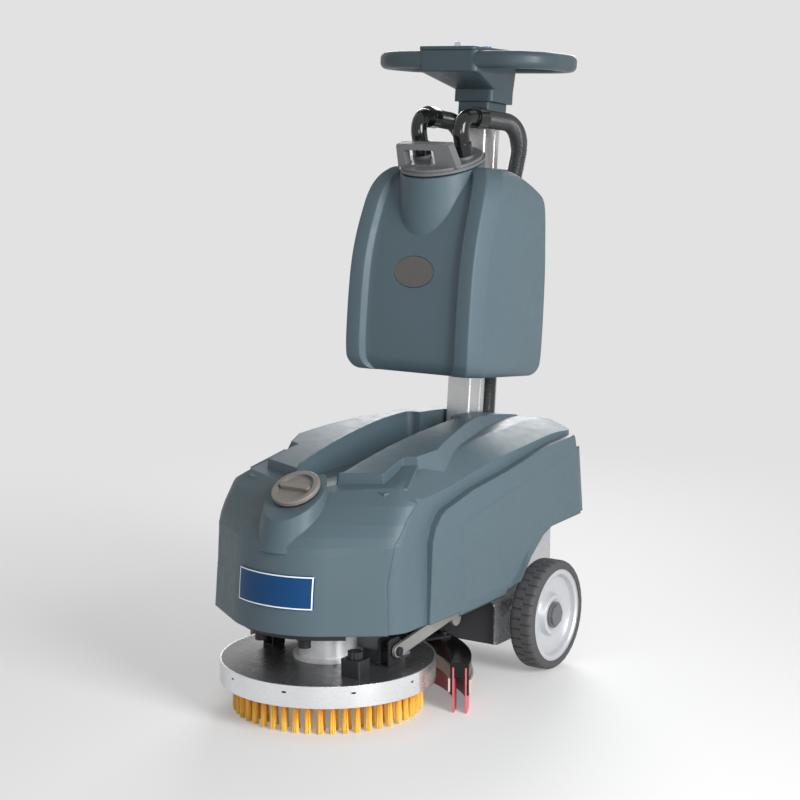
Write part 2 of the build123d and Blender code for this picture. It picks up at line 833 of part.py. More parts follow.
for side, name in ((1, "suction_elbow"), (-1, "vacuum_elbow")):
    port_mouth = LID.from_local_coords((side * PORT_X, 4, PORT_MOUTH))
    with BuildPart() as elbow:
        with BuildLine() as elbow_line:
            FilletPolyline(port_mouth, elbow_corner(side), hose_mouth(side), radius=BEND_R)
        start = Plane(origin=port_mouth, z_dir=elbow_line.line % 0)
        with BuildSketch(start):
            Circle(ELBOW_R)
            Circle(PORT_BORE_R, mode=Mode.SUBTRACT)
        sweep(path=elbow_line.line)
        with BuildSketch(start.offset(-12)):
            Circle(PORT_CUFF_R)
            Circle(PORT_R + GAP, mode=Mode.SUBTRACT)
        extrude(amount=12)
        with BuildSketch(start):
            Circle(PORT_CUFF_R)
            Circle(ELBOW_R - 2, mode=Mode.SUBTRACT)
        extrude(amount=10)
        mouth = Plane(origin=hose_mouth(side), z_dir=elbow_line.line % 1)
        with BuildSketch(mouth.offset(-26)):
            Circle(HOSE_CUFF_R)
            Circle(ELBOW_R - 2, mode=Mode.SUBTRACT)
        extrude(amount=26)
        with BuildSketch(mouth.offset(-20)):
            Circle(HOSE_R + GAP)
        extrude(amount=20, mode=Mode.SUBTRACT)
    finish(elbow, name)

# Hoses, whole from elbow to body
HOSE_BORE_R = 13.5
for side, name in ((1, "suction_hose"), (-1, "vacuum_hose")):
    mouth = hose_mouth(side)
    run = (mouth - elbow_corner(side)).normalized()
    with BuildPart() as hose:
        with BuildLine() as hose_line:
            FilletPolyline(
                mouth - run * 19.5,
                mouth + run * 130,
                MAST.from_local_coords((side * 45, HOSE_V, 610)),
                MAST.from_local_coords((side * HOSE_X, HOSE_V, 520)),
                MAST.from_local_coords((side * HOSE_X, HOSE_V, HOSE_END + 0.5)),
                radius=[62, 90, 90],
            )
        with BuildSketch(Plane(origin=hose_line.line @ 0, z_dir=hose_line.line % 0)):
            Circle(HOSE_R)
            Circle(HOSE_BORE_R, mode=Mode.SUBTRACT)
        sweep(path=hose_line.line)
    finish(hose, name)

# Neck sleeve and head cover on the mast
SLEEVE_LOW = 722.0
COLLAR_LOW = 763.0
COLLAR = (84.0, 82.0)
with BuildPart() as neck_sleeve:
    with BuildSketch(MAST.offset(SLEEVE_LOW)):
        RectangleRounded(66, 70, 6)
        Rectangle(MAST_WIDTH + 0.2, MAST_DEPTH + 0.2, mode=Mode.SUBTRACT)
    extrude(amount=COLLAR_LOW - SLEEVE_LOW)
finish(neck_sleeve, "neck_sleeve")

# The head is nearly level: it leans back less than the mast does. Heights on it are from the ring's middle.
HEAD_LEAN = 3.0
HEAD = Plane(
    origin=MAST.from_local_coords((0, 0, 836)),
    x_dir=(1, 0, 0),
    z_dir=(0, sin(radians(HEAD_LEAN)), cos(radians(HEAD_LEAN))),
)
HEAD_AXIS = Axis(HEAD.origin, HEAD.z_dir)
HEAD_LOW = -21.0
HEAD_TOP = 17.0
HEAD_BLOCK = (124.0, 150.0)
HEAD_MIDDLE = -60.0
with BuildPart() as head_lower_cover:
    with BuildSketch(MAST.offset(COLLAR_LOW)):
        with Locations((0, 3)):
            RectangleRounded(*COLLAR, 10)
    extrude(amount=38)
    with BuildSketch(MAST.offset(COLLAR_LOW + 22)):
        with Locations((0, 3)):
            RectangleRounded(*COLLAR, 10)
    with BuildSketch(HEAD.offset(HEAD_LOW)):
        with Locations((0, HEAD_MIDDLE)):
            RectangleRounded(*HEAD_BLOCK, 12)
    loft()
    with BuildSketch(MAST.offset(COLLAR_LOW)):
        Rectangle(MAST_WIDTH + 0.2, MAST_DEPTH + 0.2)
    extrude(amount=MAST_LENGTH + 0.5 - COLLAR_LOW, mode=Mode.SUBTRACT)
finish(head_lower_cover, "head_lower_cover")

# Ring handle and head block in one, with the control panel on top
RING_X = 169.0
RING_FRONT = -120.0
RING_BACK = 68.0
RING_TALL = 31.0
BUTTON_R = 9.0
BUTTON_V = -40.0
KEY_R = 7.0
KEY_X = -36.0
BUTTON_X = (0.0, 26.0)
with BuildPart() as handle_head:
    with BuildLine(HEAD) as ring_line:
        FilletPolyline(
            (RING_X, RING_FRONT),
            (RING_X, RING_BACK),
            (-RING_X, RING_BACK),
            (-RING_X, RING_FRONT),
            radius=74,
            close=True,
        )
    ring_start = Plane(origin=ring_line.line @ 0, x_dir=HEAD.z_dir, z_dir=ring_line.line % 0)
    with BuildSketch(ring_start):
        RectangleRounded(RING_TALL, 29, 12)
    sweep(path=ring_line.line)
    with BuildSketch(HEAD.offset(HEAD_LOW)):
        with Locations((0, HEAD_MIDDLE)):
            RectangleRounded(*HEAD_BLOCK, 12)
    extrude(amount=HEAD_TOP - HEAD_LOW)
    with BuildSketch(HEAD.offset(HEAD_TOP)):
        with Locations((BUTTON_X[0], BUTTON_V), (BUTTON_X[1], BUTTON_V)):
            Circle(BUTTON_R + 0.5)
        with Locations((KEY_X, BUTTON_V)):
            Circle(KEY_R + 0.05)
    extrude(amount=-5, mode=Mode.SUBTRACT)
finish(handle_head, "handle_head")

PANEL_THICK = 6.0
PANEL_TOP = HEAD_TOP + PANEL_THICK
with BuildPart() as control_panel:
    with BuildSketch(HEAD.offset(HEAD_TOP)):
        with Locations((0, HEAD_MIDDLE - 8)):
            RectangleRounded(120, 140, 10)
    extrude(amount=PANEL_THICK)
    fillet(control_panel.edges().group_by(HEAD_AXIS)[-1], 2)
    with BuildSketch(HEAD.offset(HEAD_TOP)):
        with Locations((BUTTON_X[0], BUTTON_V), (BUTTON_X[1], BUTTON_V)):
            Circle(BUTTON_R + GAP)
        with Locations((KEY_X, BUTTON_V)):
            Circle(KEY_R + 0.05)
    extrude(amount=PANEL_THICK, mode=Mode.SUBTRACT)
finish(control_panel, "control_panel")

for x, name in zip(BUTTON_X, ("brush_button", "water_button")):
    with BuildPart() as button:
        with BuildSketch(HEAD.offset(HEAD_TOP + 0.5)):
            with Locations((x, BUTTON_V)):
                Circle(BUTTON_R)
        extrude(amount=10)
        fillet(button.edges().group_by(HEAD_AXIS)[-1], 1)
    finish(button, name)

with BuildPart() as key_switch:
    with BuildSketch(HEAD.offset(HEAD_TOP - 4)):
        with Locations((KEY_X, BUTTON_V)):
            Circle(KEY_R)
    extrude(amount=PANEL_THICK + 6)
    key_bow = Plane(
        origin=HEAD.from_local_coords((KEY_X, BUTTON_V, PANEL_TOP + 7)),
        x_dir=HEAD.y_dir,
        z_dir=(1, 0, 0),
    )
    with BuildSketch(key_bow):
        RectangleRounded(18, 14, 5)
    extrude(amount=1.2, both=True)
finish(key_switch, "key_switch")


# Scrub deck: everything from here to the squeegee is drawn about the brush axis
def at_brush(height):
    """Level plane with its origin on the brush axis."""
    return Plane((0, BRUSH_Y, height))


BRUSH_AXIS = Axis((0, BRUSH_Y, 0), (0, 0, 1))
DECK_Z = 88.0                         # top of the deck plate
PLATE_R = 181.9
SHAFT_R = 8.0
DECK_PIN_R = 4.0
ARM_INNER_X = 133.0
ARM_THICK = 6.0
with BuildPart() as deck_plate:
    with BuildSketch(at_brush(DECK_Z)):
        Circle(PLATE_R)
        Circle(20, mode=Mode.SUBTRACT)
    extrude(amount=-4)
finish(deck_plate, "deck_plate")

with BuildPart() as deck_rim_band:
    with BuildSketch(at_brush(51)):
        Circle(DECK_R)
        Circle(PLATE_R + GAP, mode=Mode.SUBTRACT)
    extrude(amount=DECK_Z - 51)
    for turn in range(-150, 0, 36):
        slot_plane = Plane(
            origin=(0, BRUSH_Y, 76),
            x_dir=(-sin(radians(turn)), cos(radians(turn)), 0),
            z_dir=(cos(radians(turn)), sin(radians(turn)), 0),
        )
        with BuildSketch(slot_plane.offset(PLATE_R - 6)):
            SlotOverall(8, 3.2)
        extrude(amount=14, mode=Mode.SUBTRACT)
finish(deck_rim_band, "deck_rim_band")

with BuildPart() as brush_motor:
    with BuildSketch(at_brush(DECK_Z)):
        Circle(60)
    extrude(amount=6)
    with BuildSketch(at_brush(DECK_Z + 6)):
        Circle(MOTOR_R)
    extrude(amount=141)
    fillet(brush_motor.edges().group_by(Axis.Z)[-1], 4)
    with BuildSketch(at_brush(DECK_Z)):
        Circle(SHAFT_R + 0.05)
    extrude(amount=10, mode=Mode.SUBTRACT)
finish(brush_motor, "brush_motor")

with BuildPart() as drive_hub:
    with BuildSketch(at_brush(64)):
        Circle(30)
    extrude(amount=16)
    with BuildSketch(at_brush(60)):
        Circle(SHAFT_R)
    extrude(amount=36)
finish(drive_hub, "drive_hub")

with BuildPart() as brush_disc:
    with BuildSketch(at_brush(50)):
        Circle(BRUSH_R - 5)
        Circle(SHAFT_R + GAP, mode=Mode.SUBTRACT)
    extrude(amount=14)
finish(brush_disc, "brush_disc")

with BuildPart() as brush_bristles:
    with BuildSketch(at_brush(44)):
        Circle(BRUSH_R)
        Circle(126, mode=Mode.SUBTRACT)
    extrude(amount=6)
    with BuildSketch(at_brush(0)):
        with PolarLocations(BRUSH_R - 6.5, 48):
            Circle(6)
        with PolarLocations(BRUSH_R - 27, 40):
            Circle(6)
    extrude(amount=45)
finish(brush_bristles, "brush_bristles")

with BuildPart() as deck_brackets:
    for side in (1, -1):
        for inner in (109, 128):
            with BuildSketch(Plane.YZ.offset(side * inner)):
                with BuildLine():
                    FilletPolyline(
                        (behind(-10), DECK_Z),
                        (behind(-10), 136),
                        (behind(24), 136),
                        (behind(24), DECK_Z),
                        radius=[0, 6, 6, 0],
                        close=True,
                    )
                make_face()
            extrude(amount=side * 3)
        with BuildSketch(Plane.XY.offset(DECK_Z)):
            with Locations((side * 120, behind(7))):
                Rectangle(20, 34)
        extrude(amount=3)
        with BuildSketch(Plane.YZ.offset(side * 110)):
            with Locations(ARM_FRONT):
                Circle(DECK_PIN_R)
        extrude(amount=side * 33)
        with BuildSketch(Plane.YZ.offset(side * (ARM_INNER_X + ARM_THICK + 0.5))):
            with Locations(ARM_FRONT):
                Circle(8)
        extrude(amount=side * 4)
finish(deck_brackets, "deck_brackets")

with BuildPart() as deck_cross_plate:
    with BuildSketch(Plane.XZ.offset(-behind(66))):
        with Locations((0, DECK_Z + 13)):
            RectangleRounded(224, 26, 4)
    extrude(amount=-3)
    with BuildSketch(Plane.XY.offset(DECK_Z)):
        with Locations((0, behind(76))):
            Rectangle(224, 20)
    extrude(amount=3)
finish(deck_cross_plate, "deck_cross_plate")

# Lift arms from the chassis to the deck, joined by a tube
ARM_REACH = ARM_REAR[0] - ARM_FRONT[0]
ARM_RISE = ARM_REAR[1] - ARM_FRONT[1]
TUBE_PLACE = (behind(196), 128.0)
with BuildPart() as lift_arms:
    for side in (1, -1):
        with BuildSketch(Plane.YZ.offset(side * ARM_INNER_X)):
            with Locations(((ARM_FRONT[0] + ARM_REAR[0]) / 2, (ARM_FRONT[1] + ARM_REAR[1]) / 2)):
                SlotCenterToCenter(
                    hypot(ARM_REACH, ARM_RISE), 22, rotation=degrees(atan2(ARM_RISE, ARM_REACH))
                )
            with Locations(TUBE_PLACE):
                Circle(14)
            with Locations(ARM_FRONT):
                Circle(DECK_PIN_R + 0.05, mode=Mode.SUBTRACT)
            with Locations(ARM_REAR):
                Circle(PIN_R + 0.05, mode=Mode.SUBTRACT)
        extrude(amount=side * ARM_THICK)
    with BuildSketch(Plane.YZ.offset(-ARM_INNER_X)):
        with Locations(TUBE_PLACE):
            Circle(8)
    extrude(amount=2 * ARM_INNER_X)
finish(lift_arms, "lift_arms")

# Solution valve on the deck, with its knob
VALVE_PLACE = (108.0, behind(-75))
VALVE_TOP = 118.0
with BuildPart() as solution_valve:
    with BuildSketch(Plane.XY.offset(DECK_Z)):
        with Locations(VALVE_PLACE):
            RectangleRounded(38, 34, 4)
    extrude(amount=VALVE_TOP - DECK_Z)
    with BuildSketch(Plane.XY.offset(VALVE_TOP)):
        with Locations(VALVE_PLACE):
            Circle(4.05)
    extrude(amount=-14, mode=Mode.SUBTRACT)
finish(solution_valve, "solution_valve")

with BuildPart() as valve_knob:
    with BuildSketch(Plane.XY.offset(VALVE_TOP + 0.3)):
        with Locations(VALVE_PLACE):
            Circle(13)
            with PolarLocations(14, 10):
                Circle(2.2, mode=Mode.SUBTRACT)
    extrude(amount=12)
    with BuildSketch(Plane.XY.offset(VALVE_TOP + 0.3)):
        with Locations(VALVE_PLACE):
            Circle(4)
    extrude(amount=-13)
finish(valve_knob, "valve_knob")

# Squeegee behind the deck, an arc about the brush axis
SWEEP_FROM = 20.0
SWEEP_ARC = 140.0
HOLDER_TOP = DECK_Z
ARC_START = Plane(
    origin=(0, BRUSH_Y, 0),
    x_dir=(cos(radians(SWEEP_FROM)), sin(radians(SWEEP_FROM)), 0),
    z_dir=(sin(radians(SWEEP_FROM)), -cos(radians(SWEEP_FROM)), 0),
)


def swept_band(inner, outer, low, high):
    """A band of rectangular section swept round the squeegee's arc."""
    with BuildPart() as band:
        with BuildSketch(ARC_START):
            with Locations(((inner + outer) / 2, (low + high) / 2)):
                Rectangle(outer - inner, high - low)
        revolve(axis=BRUSH_AXIS, revolution_arc=SWEEP_ARC)
    return band.part


HOLDER_INNER = 214.0
HOLDER_OUTER = 246.0
SKIRT_LOW = 32.0
BLADE = 3.0
SUCTION_R = 230.0                     # the nozzle stands over the middle of the holder
NOZZLE_R = 18.0
NOZZLE_TOP = 104.0
inner_skirt = swept_band(HOLDER_INNER, HOLDER_INNER + 3.2, SKIRT_LOW, HOLDER_TOP)
outer_skirt = swept_band(HOLDER_OUTER - 3.2, HOLDER_OUTER, SKIRT_LOW, HOLDER_TOP)
holder_core = swept_band(HOLDER_INNER + 3.5 + BLADE + GAP, HOLDER_OUTER - 3.5 - BLADE - GAP, 62, HOLDER_TOP)
holder_roof = swept_band(HOLDER_INNER, HOLDER_OUTER, 80, HOLDER_TOP)
with BuildPart() as squeegee_holder:
    add(inner_skirt)
    add(outer_skirt)
    add(holder_core)
    add(holder_roof)
    with BuildSketch(Plane.XY.offset(HOLDER_TOP)):
        with Locations((0, BRUSH_Y + SUCTION_R)):
            Circle(NOZZLE_R)
    extrude(amount=NOZZLE_TOP - HOLDER_TOP)
    with BuildSketch(Plane.XY.offset(50)):
        with Locations((0, BRUSH_Y + SUCTION_R)):
            Circle(7.5)
    extrude(amount=60, mode=Mode.SUBTRACT)
finish(squeegee_holder, "squeegee_holder")

for name, inner in (("front_blade", HOLDER_INNER + 3.5), ("rear_blade", HOLDER_OUTER - 3.5 - BLADE)):
    with BuildPart() as blade:
        add(swept_band(inner, inner + BLADE, 0, 79.8))
    finish(blade, name)

for name, inner in (("inner_strap", HOLDER_INNER - GAP - 3.5), ("outer_strap", HOLDER_OUTER + GAP)):
    with BuildPart() as strap:
        add(swept_band(inner, inner + 3.5, 36, 60))
    finish(strap, name)

with BuildPart() as squeegee_hangers:
    for turn in (62, 118):
        across = Plane(
            origin=(0, BRUSH_Y, HOLDER_TOP),
            x_dir=(cos(radians(turn)), sin(radians(turn)), 0),
            z_dir=(0, 0, 1),
        )
        with BuildSketch(across):
            with Locations((193, 0)):
                RectangleRounded(94, 26, 5)
        extrude(amount=4)
        with BuildSketch(across.offset(4)):
            with Locations((160, 0), (230, 0)):
                RegularPolygon(6.5, 6)
        extrude(amount=5)
finish(squeegee_hangers, "squeegee_hangers")

with BuildPart() as squeegee_bellows:
    with BuildSketch(Plane.XY.offset(NOZZLE_TOP)):
        with Locations((0, BRUSH_Y + SUCTION_R)):
            Circle(20)
            Circle(14, mode=Mode.SUBTRACT)
    extrude(amount=BODY_LOW - NOZZLE_TOP)
finish(squeegee_bellows, "squeegee_bellows")

# Pan under the nose, with two rubber stops above the deck
with BuildPart() as nose_pan:
    with BuildSketch(Plane.XY.offset(BODY_LOW)):
        with BuildLine():
            plan_outline(CORE_HALF - 15, behind(-186), behind(BODY_REAR), 0.7, 150, 50)
        make_face()
        with Locations((0, behind(292))):
            Rectangle(2 * HALF_WIDTH, 800, mode=Mode.SUBTRACT)
    extrude(amount=-12)
finish(nose_pan, "nose_pan")

with BuildPart() as deck_stops:
    with BuildSketch(Plane.XY.offset(BODY_LOW - 12)):
        with Locations((45, behind(-130)), (-45, behind(-130))):
            Circle(10)
    extrude(amount=-16)
finish(deck_stops, "deck_stops")

# Rectangular badge plate on the nose, bent to its curve and plain
BADGE_LOW = 211.0
BADGE_HIGH = 267.0
badge_outside = rolled_nose(NOSE_PROUD + 2)
badge_inside = rolled_nose(NOSE_PROUD + GAP)
with BuildPart() as front_badge:
    add(badge_outside)
    with BuildSketch(Plane.XZ.offset(-behind(-110))):
        with Locations((2, (BADGE_LOW + BADGE_HIGH) / 2)):
            RectangleRounded(150, BADGE_HIGH - BADGE_LOW, 5)
    extrude(amount=130, mode=Mode.INTERSECT)
    add(badge_inside, mode=Mode.SUBTRACT)
finish(front_badge, "front_badge")
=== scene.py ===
import math
import random

import bpy
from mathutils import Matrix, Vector


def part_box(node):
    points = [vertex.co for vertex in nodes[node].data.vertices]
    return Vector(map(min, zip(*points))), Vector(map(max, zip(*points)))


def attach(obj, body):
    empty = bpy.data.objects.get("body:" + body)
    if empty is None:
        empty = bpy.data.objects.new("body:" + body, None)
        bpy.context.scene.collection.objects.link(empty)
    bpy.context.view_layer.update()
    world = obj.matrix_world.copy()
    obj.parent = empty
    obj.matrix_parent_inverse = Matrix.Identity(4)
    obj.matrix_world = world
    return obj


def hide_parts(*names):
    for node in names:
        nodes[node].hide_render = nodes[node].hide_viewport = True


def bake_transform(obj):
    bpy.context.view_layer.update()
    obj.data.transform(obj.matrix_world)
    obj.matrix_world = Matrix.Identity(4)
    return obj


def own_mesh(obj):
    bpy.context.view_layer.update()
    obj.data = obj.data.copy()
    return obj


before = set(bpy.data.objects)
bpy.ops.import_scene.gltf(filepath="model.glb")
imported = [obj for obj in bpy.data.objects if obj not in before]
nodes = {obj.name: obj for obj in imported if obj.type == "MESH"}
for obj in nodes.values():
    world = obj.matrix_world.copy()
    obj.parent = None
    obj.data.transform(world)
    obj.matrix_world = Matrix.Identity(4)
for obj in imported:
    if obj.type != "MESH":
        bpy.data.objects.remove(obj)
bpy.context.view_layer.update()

# Places shared with the CAD, in metres: the machine's nose points along -Y and it stands on z = 0
BRUSH_Y = -0.20225
AXLE_Y = 0.19475
WHEEL_R = 0.1
MAST_FOOT = Vector((0.0, 0.22775, 0.258))
MAST_LEAN = math.radians(5.8)
MAST_UP = Vector((0.0, math.sin(MAST_LEAN), math.cos(MAST_LEAN)))
MAST_REAR = Vector((0.0, math.cos(MAST_LEAN), -math.sin(MAST_LEAN)))
LID_TILT = math.radians(21.0)
LID_UP = -MAST_REAR * math.sin(LID_TILT) + MAST_UP * math.cos(LID_TILT)
LID_REAR = MAST_REAR * math.cos(LID_TILT) + MAST_UP * math.sin(LID_TILT)
LID_V = -127.0                        # the lid's seat, in millimetres square to the mast
LID_H = 641
BADGE_V = -202.0                      # the oval badge's seat
BADGE_H = 447


def on_mast(x, rear, up):
    """A point in metres from millimetres square to the mast: across, behind it and up along it."""
    return MAST_FOOT + Vector((x, 0.0, 0.0)) / 1000 + MAST_REAR * rear / 1000 + MAST_UP * up / 1000


def on_lid(x, rear, up):
    """A point in metres from millimetres square to the lid's seat."""
    seat = on_mast(0, LID_V, LID_H)
    return seat + Vector((x / 1000, 0, 0)) + LID_REAR * rear / 1000 + LID_UP * up / 1000


# ---------------------------------------------------------------- materials
def srgb(r, g, b):
    """Linear colour from 0-255 screen values."""
    def line(c):
        c /= 255
        return c / 12.92 if c <= 0.04045 else ((c + 0.055) / 1.055) ** 2.4
    return (line(r), line(g), line(b), 1.0)


def new_material(name):
    """A node material, its tree and its shader."""
    mat = bpy.data.materials.new(name)
    mat.use_nodes = True
    tree = mat.node_tree
    shader = tree.nodes["Principled BSDF"]
    return mat, tree, shader


def fill(tree, socket, value):
    """Links another node's socket, or sets a plain value."""
    if isinstance(value, bpy.types.NodeSocket):
        tree.links.new(value, socket)
    else:
        socket.default_value = value


def maths(tree, operation, *values):
    """The result of a maths node."""
    node = tree.nodes.new("ShaderNodeMath")
    node.operation = operation
    for socket, value in zip(node.inputs, values):
        fill(tree, socket, value)
    return node.outputs[0]


def color_mix(tree, factor, first, second, blend="MIX"):
    """The result of a colour mix node."""
    node = tree.nodes.new("ShaderNodeMix")
    node.data_type = "RGBA"
    node.blend_type = blend
    for key, value in (("Factor", factor), ("A", first), ("B", second)):
        fill(tree, node.inputs[key], value)
    return node.outputs["Result"]


def shader_mix(tree, factor, first, second):
    """The result of a shader mix node."""
    node = tree.nodes.new("ShaderNodeMixShader")
    for socket, source in zip(node.inputs, (factor, first, second)):
        tree.links.new(source, socket)
    return node.outputs["Shader"]


def noise(tree, scale, detail=4.0, rough=0.55, stretch=None):
    """Noise in object coordinates, stretched along some axes when asked."""
    coord = tree.nodes.new("ShaderNodeTexCoord")
    tex = tree.nodes.new("ShaderNodeTexNoise")
    tex.inputs["Scale"].default_value = scale
    tex.inputs["Detail"].default_value = detail
    tex.inputs["Roughness"].default_value = rough
    source = coord.outputs["Object"]
    if stretch:
        mapping = tree.nodes.new("ShaderNodeMapping")
        mapping.inputs["Scale"].default_value = stretch
        tree.links.new(source, mapping.inputs["Vector"])
        source = mapping.outputs["Vector"]
    tree.links.new(source, tex.inputs["Vector"])
    return tex.outputs["Fac"]


def spread(tree, fac, low, high):
    """Maps the middle of a noise's range onto low to high, because noise rarely leaves it."""
    node = tree.nodes.new("ShaderNodeMapRange")
    node.inputs["From Min"].default_value = 0.3
    node.inputs["From Max"].default_value = 0.7
    node.inputs["To Min"].default_value = low
    node.inputs["To Max"].default_value = high
    tree.links.new(fac, node.inputs["Value"])
    return node.outputs["Result"]


def surface(
    name, color, rough, metal=0.0, grain=0.0, grain_scale=900.0, edge=0.0015, mottle=0.06,
    rough_spread=0.06, specular=0.5, stretch=None,
):
    """Moulded, painted, metal or rubber surface with a fine grain and rounded edges.

    Colour and roughness vary a little over the piece, by mottle and rough_spread. Edge is the
    radius of its edges in metres, and stretch draws the noise out into brush marks.
    """
    mat, tree, shader = new_material(name)
    shader.inputs["Metallic"].default_value = metal
    shader.inputs["Specular IOR Level"].default_value = specular
    slow = noise(tree, scale=6.0, detail=3.0, rough=0.6)
    darker = [c * (1 - mottle) for c in color[:3]] + [1]
    paler = [min(1, c * (1 + mottle)) for c in color[:3]] + [1]
    mottled = color_mix(tree, spread(tree, slow, 0, 1), darker, paler)
    tree.links.new(mottled, shader.inputs["Base Color"])
    mid = noise(tree, scale=55.0, detail=5.0, rough=0.6, stretch=stretch)
    varied = spread(tree, mid, max(0.02, rough - rough_spread), rough + rough_spread)
    tree.links.new(varied, shader.inputs["Roughness"])
    bevel = tree.nodes.new("ShaderNodeBevel")
    bevel.samples = 6
    bevel.inputs["Radius"].default_value = edge
    normal = bevel.outputs["Normal"]
    if grain:
        bump = tree.nodes.new("ShaderNodeBump")
        bump.inputs["Strength"].default_value = grain
        bump.inputs["Distance"].default_value = 0.0004
        fine = noise(tree, grain_scale, detail=2.0, rough=0.5, stretch=stretch)
        tree.links.new(fine, bump.inputs["Height"])
        tree.links.new(normal, bump.inputs["Normal"])
        normal = bump.outputs["Normal"]
    tree.links.new(normal, shader.inputs["Normal"])
    return mat


blue_shell = surface(
    "blue_shell", srgb(81, 98, 106), 0.44, grain=0.10, edge=0.003, mottle=0.03, specular=0.3,
)
# The shell's blue-grey darkened by about a quarter for the handle head's parts: painted shade for the
# weakly lit head
head_slate_painted_shade = surface(
    "head_slate_painted_shade", srgb(62, 76, 82), 0.4, grain=0.10, edge=0.003, mottle=0.03, specular=0.3,
)
dark_moulding = surface(
    "dark_moulding", srgb(40, 41, 43), 0.32, grain=0.15, edge=0.0012, specular=0.4,
)
elbow_black = surface("elbow_black", srgb(22, 23, 24), 0.16, edge=0.0012, rough_spread=0.03)
hub_grey = surface("hub_grey", srgb(94, 95, 97), 0.38, grain=0.15, edge=0.0012)
lid_grey = surface("lid_grey", srgb(104, 106, 108), 0.42, grain=0.22, edge=0.0015)
cap_grey = surface("cap_grey", srgb(126, 122, 117), 0.42, grain=0.15, edge=0.0015)
box_charcoal = surface("box_charcoal", srgb(66, 68, 72), 0.45, grain=0.3, edge=0.002)
black_paint = surface(
    "black_paint", srgb(36, 37, 39), 0.4, grain=0.25, grain_scale=500, edge=0.001, specular=0.4,
)
gloss_black = surface(
    "gloss_black", srgb(13, 13, 14), 0.2, edge=0.0015, rough_spread=0.03, specular=0.35,
)
rubber_black = surface("rubber_black", srgb(30, 30, 31), 0.6, grain=0.3, edge=0.001, specular=0.35)
hose_grey = surface("hose_grey", srgb(60, 61, 62), 0.22, grain=0.05, edge=0.0004)
tyre_grey = surface(
    "tyre_grey", srgb(76, 76, 78), 0.66, grain=0.5, grain_scale=420, edge=0.0008, specular=0.35,
)
blade_red = surface("blade_red", srgb(204, 96, 108), 0.42, grain=0.08, edge=0.0006)
strap_beige = surface("strap_beige", srgb(200, 190, 174), 0.35, metal=0.2, edge=0.0006)
arm_grey = surface("arm_grey", srgb(164, 163, 160), 0.36, metal=0.45, grain=0.2, edge=0.001)
steel_bright = surface(
    "steel_bright", srgb(232, 233, 234), 0.24, metal=0.85, edge=0.0006, stretch=(1, 1, 40),
    rough_spread=0.08,
)
motor_steel = surface(
    "motor_steel", srgb(242, 243, 244), 0.34, metal=0.25, edge=0.0006, rough_spread=0.05,
)
steel_turned = surface("steel_turned", srgb(205, 206, 208), 0.28, metal=0.9, edge=0.0006)
zinc = surface(
    "zinc", srgb(196, 198, 200), 0.34, metal=0.75, mottle=0.12, grain=0.15, grain_scale=160,
    edge=0.0007,
)
mast_alloy = surface(
    "mast_alloy", srgb(206, 206, 206), 0.3, metal=0.8, edge=0.0012, stretch=(60, 60, 1),
    rough_spread=0.08,
)
rim_alloy = surface("rim_alloy", srgb(200, 202, 205), 0.34, metal=0.5, grain=0.12, edge=0.0012)
deck_steel = surface("deck_steel", srgb(92, 92, 94), 0.3, metal=0.55, edge=0.001, mottle=0.05)
button_green = surface("button_green", srgb(30, 120, 60), 0.35, grain=0.1, edge=0.0008)
button_blue = surface("button_blue", srgb(30, 90, 160), 0.35, grain=0.1, edge=0.0008)
ball_white = surface("ball_white", srgb(226, 224, 216), 0.3, edge=0.0008)
badge_grey = surface("badge_grey", srgb(88, 86, 84), 0.5, grain=0.15, edge=0.0006)

BORDER_INSET = (0.0011, 0.0032)       # the white line's outer and inner edge, in from the plate's edge


def badge_material():
    """Plain blue plate with a thin white border, from the plate's own box."""
    mat, tree, shader = new_material("badge_blue")
    shader.inputs["Specular IOR Level"].default_value = 0.25
    low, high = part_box("front_badge")
    middle = [(low[i] + high[i]) / 2 for i in range(3)]
    half = [(high[i] - low[i]) / 2 for i in range(3)]
    coord = tree.nodes.new("ShaderNodeTexCoord")
    split = tree.nodes.new("ShaderNodeSeparateXYZ")
    tree.links.new(coord.outputs["Object"], split.inputs["Vector"])

    def outside(axis, index, inset):
        """1 where a point lies beyond the inset rectangle along one axis."""
        shift = maths(tree, "SUBTRACT", split.outputs[axis], middle[index])
        return maths(tree, "GREATER_THAN", maths(tree, "ABSOLUTE", shift), half[index] - inset)

    def rim(inset):
        """1 outside the inset rectangle."""
        return maths(tree, "MAXIMUM", outside("X", 0, inset), outside("Z", 2, inset))

    line = maths(tree, "SUBTRACT", rim(BORDER_INSET[1]), rim(BORDER_INSET[0]))
    plate = color_mix(tree, line, srgb(6, 64, 112), srgb(240, 242, 244))
    tree.links.new(plate, shader.inputs["Base Color"])
    tree.links.new(spread(tree, noise(tree, 60.0), 0.3, 0.4), shader.inputs["Roughness"])
    return mat


BRISTLE_TOP = 0.05


